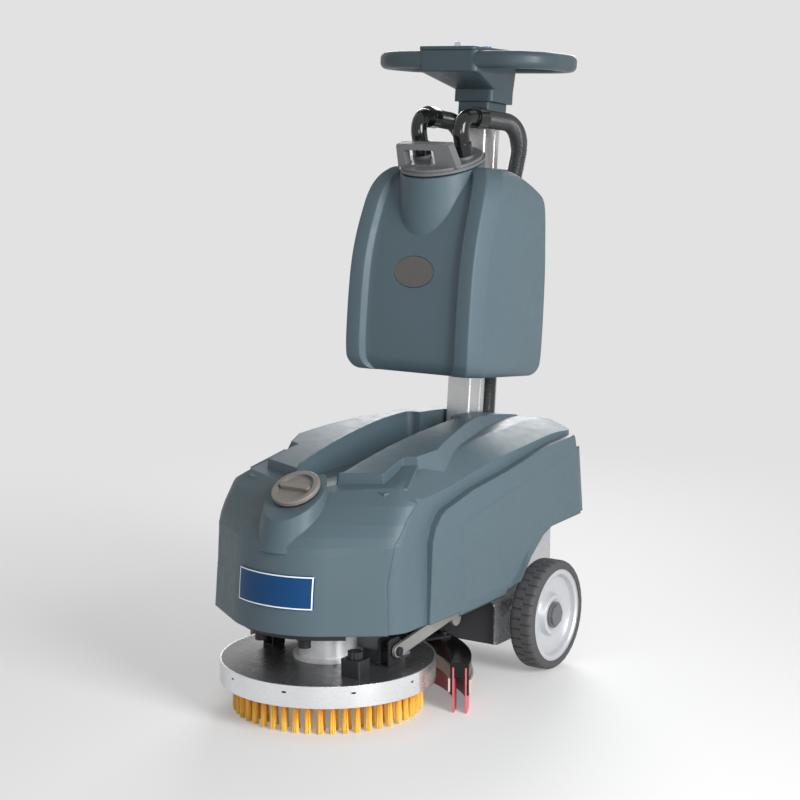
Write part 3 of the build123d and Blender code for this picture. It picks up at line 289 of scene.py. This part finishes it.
def bristle_material():
    """Orange nylon, paler towards the tips, with streaks along the strands."""
    mat, tree, shader = new_material("bristle_orange")
    coord = tree.nodes.new("ShaderNodeTexCoord")
    split = tree.nodes.new("ShaderNodeSeparateXYZ")
    tree.links.new(coord.outputs["Object"], split.inputs["Vector"])
    height = tree.nodes.new("ShaderNodeMapRange")
    height.inputs["From Max"].default_value = BRISTLE_TOP
    tree.links.new(split.outputs["Z"], height.inputs["Value"])
    ramp = tree.nodes.new("ShaderNodeValToRGB")
    ramp.color_ramp.elements[0].color = srgb(255, 208, 92)
    ramp.color_ramp.elements[1].color = srgb(244, 168, 44)
    tree.links.new(height.outputs["Result"], ramp.inputs["Fac"])
    strands = noise(tree, scale=700.0, detail=2.0, rough=0.5, stretch=(1, 1, 0.04))
    streak = spread(tree, strands, 0.86, 1.12)
    shade = tree.nodes.new("ShaderNodeCombineColor")
    for channel in ("Red", "Green", "Blue"):
        tree.links.new(streak, shade.inputs[channel])
    streaked = color_mix(tree, 1.0, ramp.outputs["Color"], shade.outputs["Color"], "MULTIPLY")
    tree.links.new(streaked, shader.inputs["Base Color"])
    shader.inputs["Roughness"].default_value = 0.38
    shader.inputs["Subsurface Weight"].default_value = 0.15
    shader.inputs["Subsurface Radius"].default_value = (0.004, 0.002, 0.001)
    return mat


looks = {
    "body_shell": blue_shell, "recovery_tank": blue_shell, "head_lower_cover": head_slate_painted_shade,
    "handle_head": head_slate_painted_shade, "control_panel": head_slate_painted_shade, "neck_sleeve": head_slate_painted_shade,
    "filler_cap": cap_grey, "filler_gasket": rubber_black, "lid_gasket": rubber_black,
    "tank_lid": lid_grey, "float_cage": dark_moulding, "float_ball": ball_white,
    "suction_elbow": elbow_black, "vacuum_elbow": elbow_black,
    "chassis_frame": steel_turned, "battery_box": box_charcoal, "battery_pack": black_paint,
    "stub_axles": steel_turned, "rim_left": rim_alloy, "rim_right": rim_alloy,
    "hub_cap_left": hub_grey, "hub_cap_right": hub_grey, "vacuum_motor": black_paint,
    "mast": mast_alloy, "mast_socket": black_paint, "mast_bolts": zinc, "tank_bracket": black_paint,
    "tank_badge": badge_grey, "key_switch": steel_turned, "brush_button": button_green,
    "water_button": button_blue, "nose_pan": black_paint, "deck_stops": rubber_black,
    "deck_plate": deck_steel, "deck_rim_band": steel_bright, "brush_motor": motor_steel,
    "deck_brackets": black_paint, "deck_cross_plate": zinc, "solution_valve": dark_moulding,
    "valve_knob": dark_moulding, "squeegee_holder": gloss_black, "front_blade": blade_red,
    "rear_blade": blade_red, "inner_strap": strap_beige, "outer_strap": strap_beige,
    "squeegee_hangers": black_paint, "drive_hub": steel_turned, "brush_disc": black_paint,
    "lift_arms": arm_grey, "front_badge": badge_material(),
}
for name, mat in looks.items():
    if name in nodes:
        nodes[name].data.materials.clear()
        nodes[name].data.materials.append(mat)


def mesh_object(name, verts, faces, mat, smooth=True):
    """A linked object from points and faces."""
    mesh = bpy.data.meshes.new(name)
    mesh.from_pydata([tuple(v) for v in verts], [], faces)
    mesh.materials.append(mat)
    for polygon in mesh.polygons:
        polygon.use_smooth = smooth
    mesh.update()
    obj = bpy.data.objects.new(name, mesh)
    bpy.context.scene.collection.objects.link(obj)
    return obj


def skin(rows, count):
    """Faces between rings of points, listed ring after ring."""
    faces = []
    for row in range(rows - 1):
        for k in range(count):
            a = row * count + k
            b = row * count + (k + 1) % count
            faces.append((a, b, b + count, a + count))
    return faces


# ---------------------------------------------------------------- hoses
HOSE_R = 0.0165
HOSE_PITCH = 0.0042                   # from rib to rib
HOSE_VALLEY = 0.0023                  # depth between ribs
HOSE_VALLEY_SHAPE = 0.8               # below 1 narrows the ribs' tops
HOSE_CLEAR = 0.0001
HOSE_PER_RIB = 6                      # rings of points in one rib
HOSE_SIDES = 28
HOSE_IN_ELBOW = 0.0195                # how far the hose goes into the elbow's collar
HOSE_ABOVE_TANK = 0.130               # straight run behind the elbow
HOSE_BENDS = (0.062, 0.09, 0.09)
# Millimetres, for the side with positive x
ELBOW_CORNER = (44, 4, 92)            # square to the lid
ELBOW_MOUTH = (52, -84, 728)          # square to the mast
HOSE_STOPS = ((45, 47, 610), (20, 47, 520), (20, 47, 100.5))


def rounded_route(points, radii, step):
    """Points a step apart along straight runs joined by arcs, each with the way on."""
    pieces = []
    last = points[0]
    for corner, after, radius in zip(points[1:-1], points[2:], radii):
        into = (corner - last).normalized()
        out = (after - corner).normalized()
        turn = into.angle(out)
        reach = radius * math.tan(turn / 2)
        start = corner - into * reach
        end = corner + out * reach
        side = (out - into * into.dot(out)).normalized()
        pieces.append(("line", last, start))
        pieces.append(("arc", start, into, side, radius, turn))
        last = end
    pieces.append(("line", last, points[-1]))
    route = []
    left = 0.0
    for piece in pieces:
        if piece[0] == "line":
            span = (piece[2] - piece[1]).length
            way = (piece[2] - piece[1]).normalized()
            place = left
            while place <= span:
                route.append((piece[1] + way * place, way))
                place += step
            left = place - span
        else:
            start, into, side, radius, turn = piece[1:]
            span = radius * turn
            centre = start + side * radius
            place = left
            while place <= span:
                angle = place / radius
                point = centre - side * radius * math.cos(angle) + into * radius * math.sin(angle)
                route.append((point, into * math.cos(angle) + side * math.sin(angle)))
                place += step
            left = place - span
    return route


def corrugated_hose(name, side):
    """Ribbed hose from an elbow on the lid, back over the tank and down behind the mast."""
    corner = on_lid(side * ELBOW_CORNER[0], *ELBOW_CORNER[1:])
    mouth = on_mast(side * ELBOW_MOUTH[0], *ELBOW_MOUTH[1:])
    run = (mouth - corner).normalized()
    points = [mouth - run * HOSE_IN_ELBOW, mouth + run * HOSE_ABOVE_TANK]
    points += [on_mast(side * x, rear, up) for x, rear, up in HOSE_STOPS]
    route = rounded_route(points, HOSE_BENDS, HOSE_PITCH / HOSE_PER_RIB)
    verts = []
    across = Vector((1.0, 0.0, 0.0))
    for index, (point, way) in enumerate(route):
        across = (across - way * across.dot(way)).normalized()
        other = way.cross(across)
        phase = math.cos(2 * math.pi * (index % HOSE_PER_RIB) / HOSE_PER_RIB)
        radius = HOSE_R - HOSE_CLEAR - HOSE_VALLEY * (0.5 - 0.5 * phase) ** HOSE_VALLEY_SHAPE
        for k in range(HOSE_SIDES):
            angle = 2 * math.pi * k / HOSE_SIDES
            verts.append(point + across * radius * math.cos(angle) + other * radius * math.sin(angle))
    faces = skin(len(route), HOSE_SIDES)
    for ring in (0, (len(route) - 1) * HOSE_SIDES):
        faces.append(tuple(range(ring, ring + HOSE_SIDES)))
    return mesh_object(name, verts, faces, hose_grey)


for node, side in (("suction_hose", 1), ("vacuum_hose", -1)):
    hose = corrugated_hose(f"corrugated_{node}", side)
    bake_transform(hose)
    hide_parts(node)


# ---------------------------------------------------------------- recovery tank
# Millimetres square to the mast: height, front face, half width, back face
TANK_SECTIONS = [
    (267, -196, 128, 10),
    (270, -203, 133, 15),
    (278, -210, 139, 20),
    (291, -216, 143, 22),
    (345, -219, 144, 23),
    (450, -216, 143.5, 21),
    (510, -206, 142, 18),
    (571, -187, 139, 15),
    (592, -178, 136.5, 8),
    (606, -170, 133, -14),
    (620, -159, 127, -42),
    (631, -148, 117, -64),
    (638, -138, 106, -78),
]
TANK_HEIGHTS = (
    [267, 268.5, 270, 272, 275, 278, 282, 286, 291]
    + list(range(297, 592, 7)) + list(range(592, 637, 3)) + [638]
)
PANEL_RECESS = 11.0                   # the front panel lies behind the two corner columns
COLUMN_WIDTH = 52.0                   # from the recess to the side
COLUMN_WALL = 10.0                    # width of the recess's slanted wall
CHAMFER_ACROSS = 15.0                 # flat between the column's face and the side
CHAMFER_BACK = 31.0
CHAMFER_ROUND = 2.5
BACK_ROUND = 6
SIDE_LEAST = 12.0                     # flat side left behind the chamfer where the tank is thin
MAST_WELL_HALF = 38                   # channel in the back for the mast
MAST_WELL_FRONT = -31.0
MAST_WELL_LEAST = 0.4
ROOM_HEIGHTS = (275, 345, 450, 510, 560, 600)
ROOM_WALL = 18
ROOM_CORNER = (54, 40)                # flat across the room's front corners
ROOM_BACK = -38
DRUM_SIDES = 96
NECK_R = 76.0
NECK_HEIGHTS = (450, 470, 485, 497, 508, 518, 528, 538, 548, 558, 567, 575, 620, 690)
BOWL_TOP = 575                        # below this the neck closes in a bowl
BOWL_DEPTH = 140
LID_BORE_R = 62
BADGE_SEAT = (41.6, 28.1)             # half sizes of the oval


def tank_at(height):
    """Front face, half width and back face at a height, smooth between the listed sections."""
    rows = TANK_SECTIONS
    spot = 0
    while spot < len(rows) - 2 and rows[spot + 1][0] <= height:
        spot += 1
    low = rows[spot]
    high = rows[spot + 1]
    before = rows[max(0, spot - 1)]
    after = rows[min(len(rows) - 1, spot + 2)]
    span = high[0] - low[0]
    t = min(1.0, max(0.0, (height - low[0]) / span))
    found = []
    for k in (1, 2, 3):
        rise_low = (high[k] - before[k]) / (high[0] - before[0]) * span
        rise_high = (after[k] - low[k]) / (after[0] - low[0]) * span
        found.append(
            (2 * t ** 3 - 3 * t ** 2 + 1) * low[k] + (t ** 3 - 2 * t ** 2 + t) * rise_low
            + (3 * t ** 2 - 2 * t ** 3) * high[k] + (t ** 3 - t ** 2) * rise_high
        )
    return found


def bend(start, corner, end, radius, steps=4):
    """Points of a rounded corner in a plan, within a little less than half of each side."""
    a = Vector(start) - Vector(corner)
    b = Vector(end) - Vector(corner)
    p = Vector(corner) + a.normalized() * min(radius, a.length * 0.45)
    q = Vector(corner) + b.normalized() * min(radius, b.length * 0.45)
    points = []
    for k in range(steps + 1):
        t = k / steps
        points.append(tuple((1 - t) ** 2 * p + 2 * t * (1 - t) * Vector(corner) + t * t * q))
    return points


def tank_ring(height):
    """Right half of the tank's plan at a height, from the middle of the front round to the back."""
    front, half, back = tank_at(height)
    panel = front + PANEL_RECESS
    width = half - COLUMN_WIDTH
    edge = half - CHAMFER_ACROSS
    turn = min(front + CHAMFER_BACK, back - SIDE_LEAST)
    well = min(MAST_WELL_FRONT, back - MAST_WELL_LEAST)
    column = (width + COLUMN_WALL, front)
    half_plan = [(width * k / 8, panel) for k in range(8)]
    half_plan += [(width, panel), (width + 1.2, panel - 0.4), (width + 8.2, front + 0.6), column]
    half_plan += bend(column, (edge, front), (half, turn), CHAMFER_ROUND)
    half_plan += bend((edge, front), (half, turn), (half, back), CHAMFER_ROUND)
    half_plan += bend((half, turn), (half, back), (MAST_WELL_HALF, back), BACK_ROUND)
    half_plan += [(MAST_WELL_HALF, back), (MAST_WELL_HALF, well), (0, well)]
    return half_plan


def rings_solid(name, rings, mat):
    """Closed solid from rings of points, low to high."""
    verts = [point for ring in rings for point in ring]
    count = len(rings[0])
    faces = skin(len(rings), count)
    faces.append(tuple(reversed(range(count))))
    faces.append(tuple(range((len(rings) - 1) * count, len(rings) * count)))
    return mesh_object(name, verts, faces, mat)


def cut_or_join(target, tool, operation):
    """Adds the tool to the target or takes it away, and removes the tool."""
    modifier = target.modifiers.new("shape", "BOOLEAN")
    modifier.operation = operation
    modifier.solver = "EXACT"
    modifier.object = tool
    bpy.context.view_layer.update()
    shaped = target.evaluated_get(bpy.context.evaluated_depsgraph_get())
    result = bpy.data.meshes.new_from_object(shaped)
    target.modifiers.clear()
    old = target.data
    target.data = result
    bpy.data.meshes.remove(old)
    bpy.data.objects.remove(tool)


def drum(name, radii, low, high, place):
    """Drum whose points are placed by a function of two plan values and a height."""
    rings = []
    for height in (low, high):
        ring = []
        for k in range(DRUM_SIDES):
            turn = 2 * math.pi * k / DRUM_SIDES
            ring.append(place(radii[0] * math.cos(turn), radii[1] * math.sin(turn), height))
        rings.append(ring)
    return rings_solid(name, rings, blue_shell)


def on_badge(x, rear, up):
    """A point in metres from millimetres square to the oval badge's seat."""
    out = Vector((0, -MAST_REAR.y, -MAST_REAR.z)) + MAST_UP * 0.1
    out.normalize()
    along = Vector((1, 0, 0)).cross(out) * -1
    seat = on_mast(0, BADGE_V, BADGE_H)
    return seat + Vector((x / 1000, 0, 0)) + along * rear / 1000 + out * up / 1000


def neck_solid():
    """Neck under the lid, closed below in a bowl."""
    rings = []
    for height in NECK_HEIGHTS:
        drop = min(1, max(0, (BOWL_TOP - height) / BOWL_DEPTH))
        radius = NECK_R * math.sqrt(1 - drop ** 2)
        ring = []
        for k in range(DRUM_SIDES):
            turn = 2 * math.pi * k / DRUM_SIDES
            ring.append(on_mast(radius * math.sin(turn), LID_V - radius * math.cos(turn), height))
        rings.append(ring)
    return rings_solid("neck", rings, blue_shell)


def room_solid():
    """Space inside the tank, in front of the mast."""
    rings = []
    for height in ROOM_HEIGHTS:
        front, half = tank_at(height)[:2]
        side = half - ROOM_WALL
        turn = front + ROOM_CORNER[1]
        corner = half - ROOM_CORNER[0]
        face = front + ROOM_WALL
        plan = [
            (side, turn), (side, ROOM_BACK), (-side, ROOM_BACK), (-side, turn),
            (-corner, face), (corner, face),
        ]
        rings.append([on_mast(x, y, height) for x, y in plan])
    return rings_solid("room", rings, blue_shell)


def tank_form():
    """The recovery tank's moulding, open under the lid."""
    rings = []
    for height in TANK_HEIGHTS:
        half_plan = tank_ring(height)
        plan = half_plan + [(-x, y) for x, y in reversed(half_plan[1:-1])]
        rings.append([on_mast(x, y, height) for x, y in plan])
    tank = rings_solid("tank_moulding", rings, blue_shell)
    cut_or_join(tank, neck_solid(), "UNION")
    above_lid = drum("above", (260, 260), low=0, high=140, place=on_lid)
    cut_or_join(tank, above_lid, "DIFFERENCE")
    bore = drum("bore", (LID_BORE_R, LID_BORE_R), low=-66, high=12, place=on_lid)
    cut_or_join(tank, bore, "DIFFERENCE")
    cut_or_join(tank, room_solid(), "DIFFERENCE")
    badge_seat = drum("seat", BADGE_SEAT, low=0.2, high=14, place=on_badge)
    cut_or_join(tank, badge_seat, "DIFFERENCE")
    tank.data.materials.clear()
    tank.data.materials.append(blue_shell)
    for polygon in tank.data.polygons:
        polygon.use_smooth = True
        polygon.material_index = 0
    tank.data.set_sharp_from_angle(angle=math.radians(24))
    return tank


tank = tank_form()
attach(tank, "base")
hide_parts("recovery_tank")


# ---------------------------------------------------------------- brush tufts
STRAND_R = 0.00075
STRAND_SIDES = 5
STRAND_SWAY = 0.0004                  # how far a strand's foot strays either way
GOLDEN_ANGLE = 2.39996                # fills a tuft evenly
TUFT_TOP_R = 0.0040
TUFT_FOOT_R = (0.0053, 0.0055)        # along the brush's radius and around the brush
TUFT_HEIGHTS = (0.0455, 0.022, 0.0004)
BASE_RING_R = (0.126, 0.1645)         # the short solid ring that the tufts grow from
BASE_RING_Z = (0.0445, 0.0498)
BASE_RING_STEPS = 96


def tuft_ring(verts, faces, rng, radius, count, strands, offset):
    """A ring of tufts, each a bundle of thin strands that splay towards the floor."""
    for tuft in range(count):
        turn = 2 * math.pi * (tuft + offset) / count
        outward = Vector((math.cos(turn), math.sin(turn), 0))
        along = Vector((-math.sin(turn), math.cos(turn), 0))
        middle = Vector((0, BRUSH_Y, 0)) + outward * radius
        for strand in range(strands):
            ring = math.sqrt((strand + 0.5) / strands)
            angle = strand * GOLDEN_ANGLE + rng.random() * 0.3
            a = math.cos(angle) * ring
            b = math.sin(angle) * ring
            top = middle + outward * a * TUFT_TOP_R + along * b * TUFT_TOP_R
            out = a * TUFT_FOOT_R[0] + rng.uniform(-STRAND_SWAY, STRAND_SWAY)
            aside = b * TUFT_FOOT_R[1] + rng.uniform(-STRAND_SWAY, STRAND_SWAY)
            foot = middle + outward * out + along * aside
            base = len(verts)
            spots = (top, top.lerp(foot, 0.42), foot)
            for height, spot, scale in zip(TUFT_HEIGHTS, spots, (1.0, 1.0, 0.9)):
                for k in range(STRAND_SIDES):
                    around = 2 * math.pi * k / STRAND_SIDES
                    verts.append(Vector((
                        spot.x + STRAND_R * scale * math.cos(around),
                        spot.y + STRAND_R * scale * math.sin(around),
                        height,
                    )))
            for row in (0, 1):
                for k in range(STRAND_SIDES):
                    p = base + row * STRAND_SIDES + k
                    q = base + row * STRAND_SIDES + (k + 1) % STRAND_SIDES
                    faces.append((p, p + STRAND_SIDES, q + STRAND_SIDES, q))
            faces.append(tuple(base + 2 * STRAND_SIDES + k for k in range(STRAND_SIDES)))


def bristles():
    """Two staggered rings of tufts on a short solid ring."""
    rng = random.Random(4)
    verts = []
    faces = []
    tuft_ring(verts, faces, rng, radius=0.1585, count=48, strands=42, offset=0.0)
    tuft_ring(verts, faces, rng, radius=0.1380, count=40, strands=30, offset=0.5)
    inner, outer = BASE_RING_R
    low, high = BASE_RING_Z
    base = len(verts)
    for k in range(BASE_RING_STEPS):
        turn = 2 * math.pi * k / BASE_RING_STEPS
        for radius, height in ((inner, high), (outer, high), (outer, low), (inner, low)):
            verts.append(Vector((radius * math.cos(turn), BRUSH_Y + radius * math.sin(turn), height)))
    for k in range(BASE_RING_STEPS):
        p = base + 4 * k
        q = base + 4 * ((k + 1) % BASE_RING_STEPS)
        for c in range(4):
            faces.append((p + c, q + c, q + (c + 1) % 4, p + (c + 1) % 4))
    return mesh_object("bristle_tufts", verts, faces, bristle_material())


tufts = bristles()
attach(tufts, "brush")
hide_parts("brush_bristles")


# ---------------------------------------------------------------- tyres
TYRE_WIDTH = 0.047
TYRE_OUTER_X = 0.231
LUGS = 34
LUG_CUT = 0.0022                      # depth of the cut between two lugs
LUG_STATIONS = (0.0, 0.04, 0.16, 0.20, 0.5, 0.54, 0.66, 0.70)      # shares of one lug's length
LEFT_CUT = (1, 2)                     # the stations at the bottom of a cut, for each row of lugs
RIGHT_CUT = (5, 6)
SHALLOWS = {3: 0.25, 4: 0.6}          # a cut runs out over these points of the half profile
# Half of the tyre's section: in from its face, radius
TYRE_PROFILE = [
    (0.0, 0.0842),
    (0.0008, 0.0868),
    (0.0006, 0.0905),
    (0.0012, 0.0940),
    (0.0026, 0.0970),
    (0.0052, 0.0990),
    (0.0085, 0.09985),
    (0.0130, 0.1),
    (0.0200, 0.1),
    (0.0224, 0.1),
    (0.0230, 0.1),
]


def tread_tyre(name, side):
    """Tyre with two rows of cut lugs, staggered by half a lug."""
    inner_x = TYRE_OUTER_X - TYRE_WIDTH
    profile = TYRE_PROFILE + [(TYRE_WIDTH - x, r) for x, r in reversed(TYRE_PROFILE)]
    wide = len(profile)
    lug = 2 * math.pi / LUGS
    verts = []
    for k in range(LUGS):
        for station, part in enumerate(LUG_STATIONS):
            turn = (k + part) * lug
            for index, (x, r) in enumerate(profile):
                cut = station in (LEFT_CUT if index < wide // 2 else RIGHT_CUT)
                from_face = min(index, wide - 1 - index)
                radius = r
                if cut and from_face >= min(SHALLOWS):
                    radius = r - LUG_CUT * SHALLOWS.get(from_face, 1.0)
                verts.append(Vector((
                    side * (inner_x + x),
                    AXLE_Y - radius * math.sin(turn),
                    WHEEL_R - radius * math.cos(turn),
                )))
    count = LUGS * len(LUG_STATIONS)
    faces = []
    for row in range(count):
        after = (row + 1) % count
        for k in range(wide - 1):
            faces.append((row * wide + k, row * wide + k + 1, after * wide + k + 1, after * wide + k))
        faces.append((row * wide + wide - 1, row * wide, after * wide, after * wide + wide - 1))
    tyre = mesh_object(name, verts, faces, tyre_grey)
    tyre.data.set_sharp_from_angle(angle=math.radians(28))
    return tyre


for hand, side in (("left", 1), ("right", -1)):
    tyre = tread_tyre(f"tread_{hand}", side)
    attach(tyre, f"wheel_{hand}")
    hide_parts(f"tyre_{hand}")


# ---------------------------------------------------------------- bellows
def turned(name, profile, centre, mat, sides=48):
    """Closed solid turned about an upright axis from (radius, height) pairs."""
    verts = []
    for radius, height in profile:
        for k in range(sides):
            turn = 2 * math.pi * k / sides
            spot = (centre[0] + radius * math.cos(turn), centre[1] + radius * math.sin(turn), height)
            verts.append(Vector(spot))
    rows = len(profile)
    faces = skin(rows, sides)
    faces.append(tuple(reversed(range(sides))))
    faces.append(tuple(range((rows - 1) * sides, rows * sides)))
    return mesh_object(name, verts, faces, mat)


FOLDS = 6
VALLEY_R = 0.0158
RIDGE_R = 0.0196
END_GAP = 0.0002                      # keeps the ends off what they meet
low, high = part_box("squeegee_bellows")
fold = (high[2] - low[2]) / FOLDS
profile = []
for k in range(FOLDS):
    foot = low[2] + k * fold
    profile += [
        (VALLEY_R, foot + END_GAP), (RIDGE_R, foot + 0.4 * fold), (RIDGE_R, foot + 0.6 * fold),
    ]
profile.append((VALLEY_R, high[2] - END_GAP))
bellows = turned(
    "folded_bellows", profile, ((low[0] + high[0]) / 2, (low[1] + high[1]) / 2), rubber_black
)
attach(bellows, "deck")
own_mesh(bellows)
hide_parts("squeegee_bellows")


# ---------------------------------------------------------------- floor, lights, camera
BACKDROP = (0.76, 0.76, 0.765, 1)
FLOOR_HALF = 9
FADE_FROM = 0.35                      # the floor runs into the backdrop between these distances
FADE_TO = 2.4
FADE_LEAST = 0.3                      # share of the backdrop near the machine
SKY_STRENGTH = 0.27                   # what the sky lights the machine with


def seen(tree):
    """1 for rays that show the background: straight to the camera, in a reflection or through glass."""
    path = tree.nodes.new("ShaderNodeLightPath")
    straight = path.outputs["Is Camera Ray"]
    mirrored = path.outputs["Is Glossy Ray"]
    through = path.outputs["Is Transmission Ray"]
    return maths(tree, "MAXIMUM", maths(tree, "MAXIMUM", straight, mirrored), through)


def studio_floor():
    """Pale floor that takes the shadow near the machine and runs into the backdrop further out."""
    mat, tree, shader = new_material("studio_floor")
    shader.inputs["Base Color"].default_value = (0.9, 0.9, 0.9, 1)
    shader.inputs["Roughness"].default_value = 0.6
    coord = tree.nodes.new("ShaderNodeTexCoord")
    away = tree.nodes.new("ShaderNodeVectorMath")
    away.operation = "LENGTH"
    tree.links.new(coord.outputs["Object"], away.inputs[0])
    fade = tree.nodes.new("ShaderNodeMapRange")
    fade.interpolation_type = "SMOOTHSTEP"
    fade.inputs["From Min"].default_value = FADE_FROM
    fade.inputs["From Max"].default_value = FADE_TO
    fade.inputs["To Min"].default_value = FADE_LEAST
    tree.links.new(away.outputs["Value"], fade.inputs["Value"])
    share = maths(tree, "MULTIPLY", fade.outputs["Result"], seen(tree))
    glow = tree.nodes.new("ShaderNodeEmission")
    glow.inputs["Color"].default_value = BACKDROP
    mixed = shader_mix(tree, share, shader.outputs["BSDF"], glow.outputs["Emission"])
    tree.links.new(mixed, tree.nodes["Material Output"].inputs["Surface"])
    return mat


floor_corners = [(x * FLOOR_HALF, y * FLOOR_HALF, 0) for x, y in ((-1, -1), (1, -1), (1, 1), (-1, 1))]
floor = mesh_object("studio_floor", floor_corners, [(0, 1, 2, 3)], studio_floor(), smooth=False)

world = bpy.data.worlds.new("studio")
world.use_nodes = True
tree = world.node_tree
lamp_sky = tree.nodes["Background"]
lamp_sky.inputs["Color"].default_value = (1.0, 1.0, 1.0, 1)
lamp_sky.inputs["Strength"].default_value = SKY_STRENGTH
seen_sky = tree.nodes.new("ShaderNodeBackground")
seen_sky.inputs["Color"].default_value = BACKDROP
sky = shader_mix(tree, seen(tree), lamp_sky.outputs["Background"], seen_sky.outputs["Background"])
tree.links.new(sky, tree.nodes["World Output"].inputs["Surface"])
bpy.context.scene.world = world


def softbox(name, place, target, size, power):
    """Area light that faces a point."""
    light = bpy.data.lights.new(name, "AREA")
    light.shape = "RECTANGLE"
    light.size = size[0]
    light.size_y = size[1]
    light.energy = power
    obj = bpy.data.objects.new(name, light)
    bpy.context.scene.collection.objects.link(obj)
    obj.location = place
    obj.rotation_euler = (Vector(target) - Vector(place)).to_track_quat("-Z", "Y").to_euler()
    return obj


softbox("side", place=(2.7, -0.9, 1.5), target=(0, 0, 0.5), size=(1.2, 1.6), power=94)
softbox("front", place=(1.7, -2.5, 0.9), target=(0, 0, 0.35), size=(1.0, 0.8), power=14)
softbox("back", place=(-1.3, 2.7, 1.7), target=(0, 0, 0.5), size=(1.4, 1.4), power=48)

CAMERA_PLACE = (1.9092, -2.91455, 1.0779)
CAMERA_DOWN = 9.38                    # degrees below level
CAMERA_TURN = 33.01                   # degrees from a view along +Y

camera_data = bpy.data.cameras.new("camera")
camera_data.lens = 90
camera_data.sensor_width = 36
camera = bpy.data.objects.new("camera", camera_data)
bpy.context.scene.collection.objects.link(camera)
camera.location = CAMERA_PLACE
camera.rotation_euler = (math.radians(90 - CAMERA_DOWN), 0, math.radians(CAMERA_TURN))

bpy.context.scene.camera = camera
bpy.context.scene.view_settings.view_transform = "Standard"
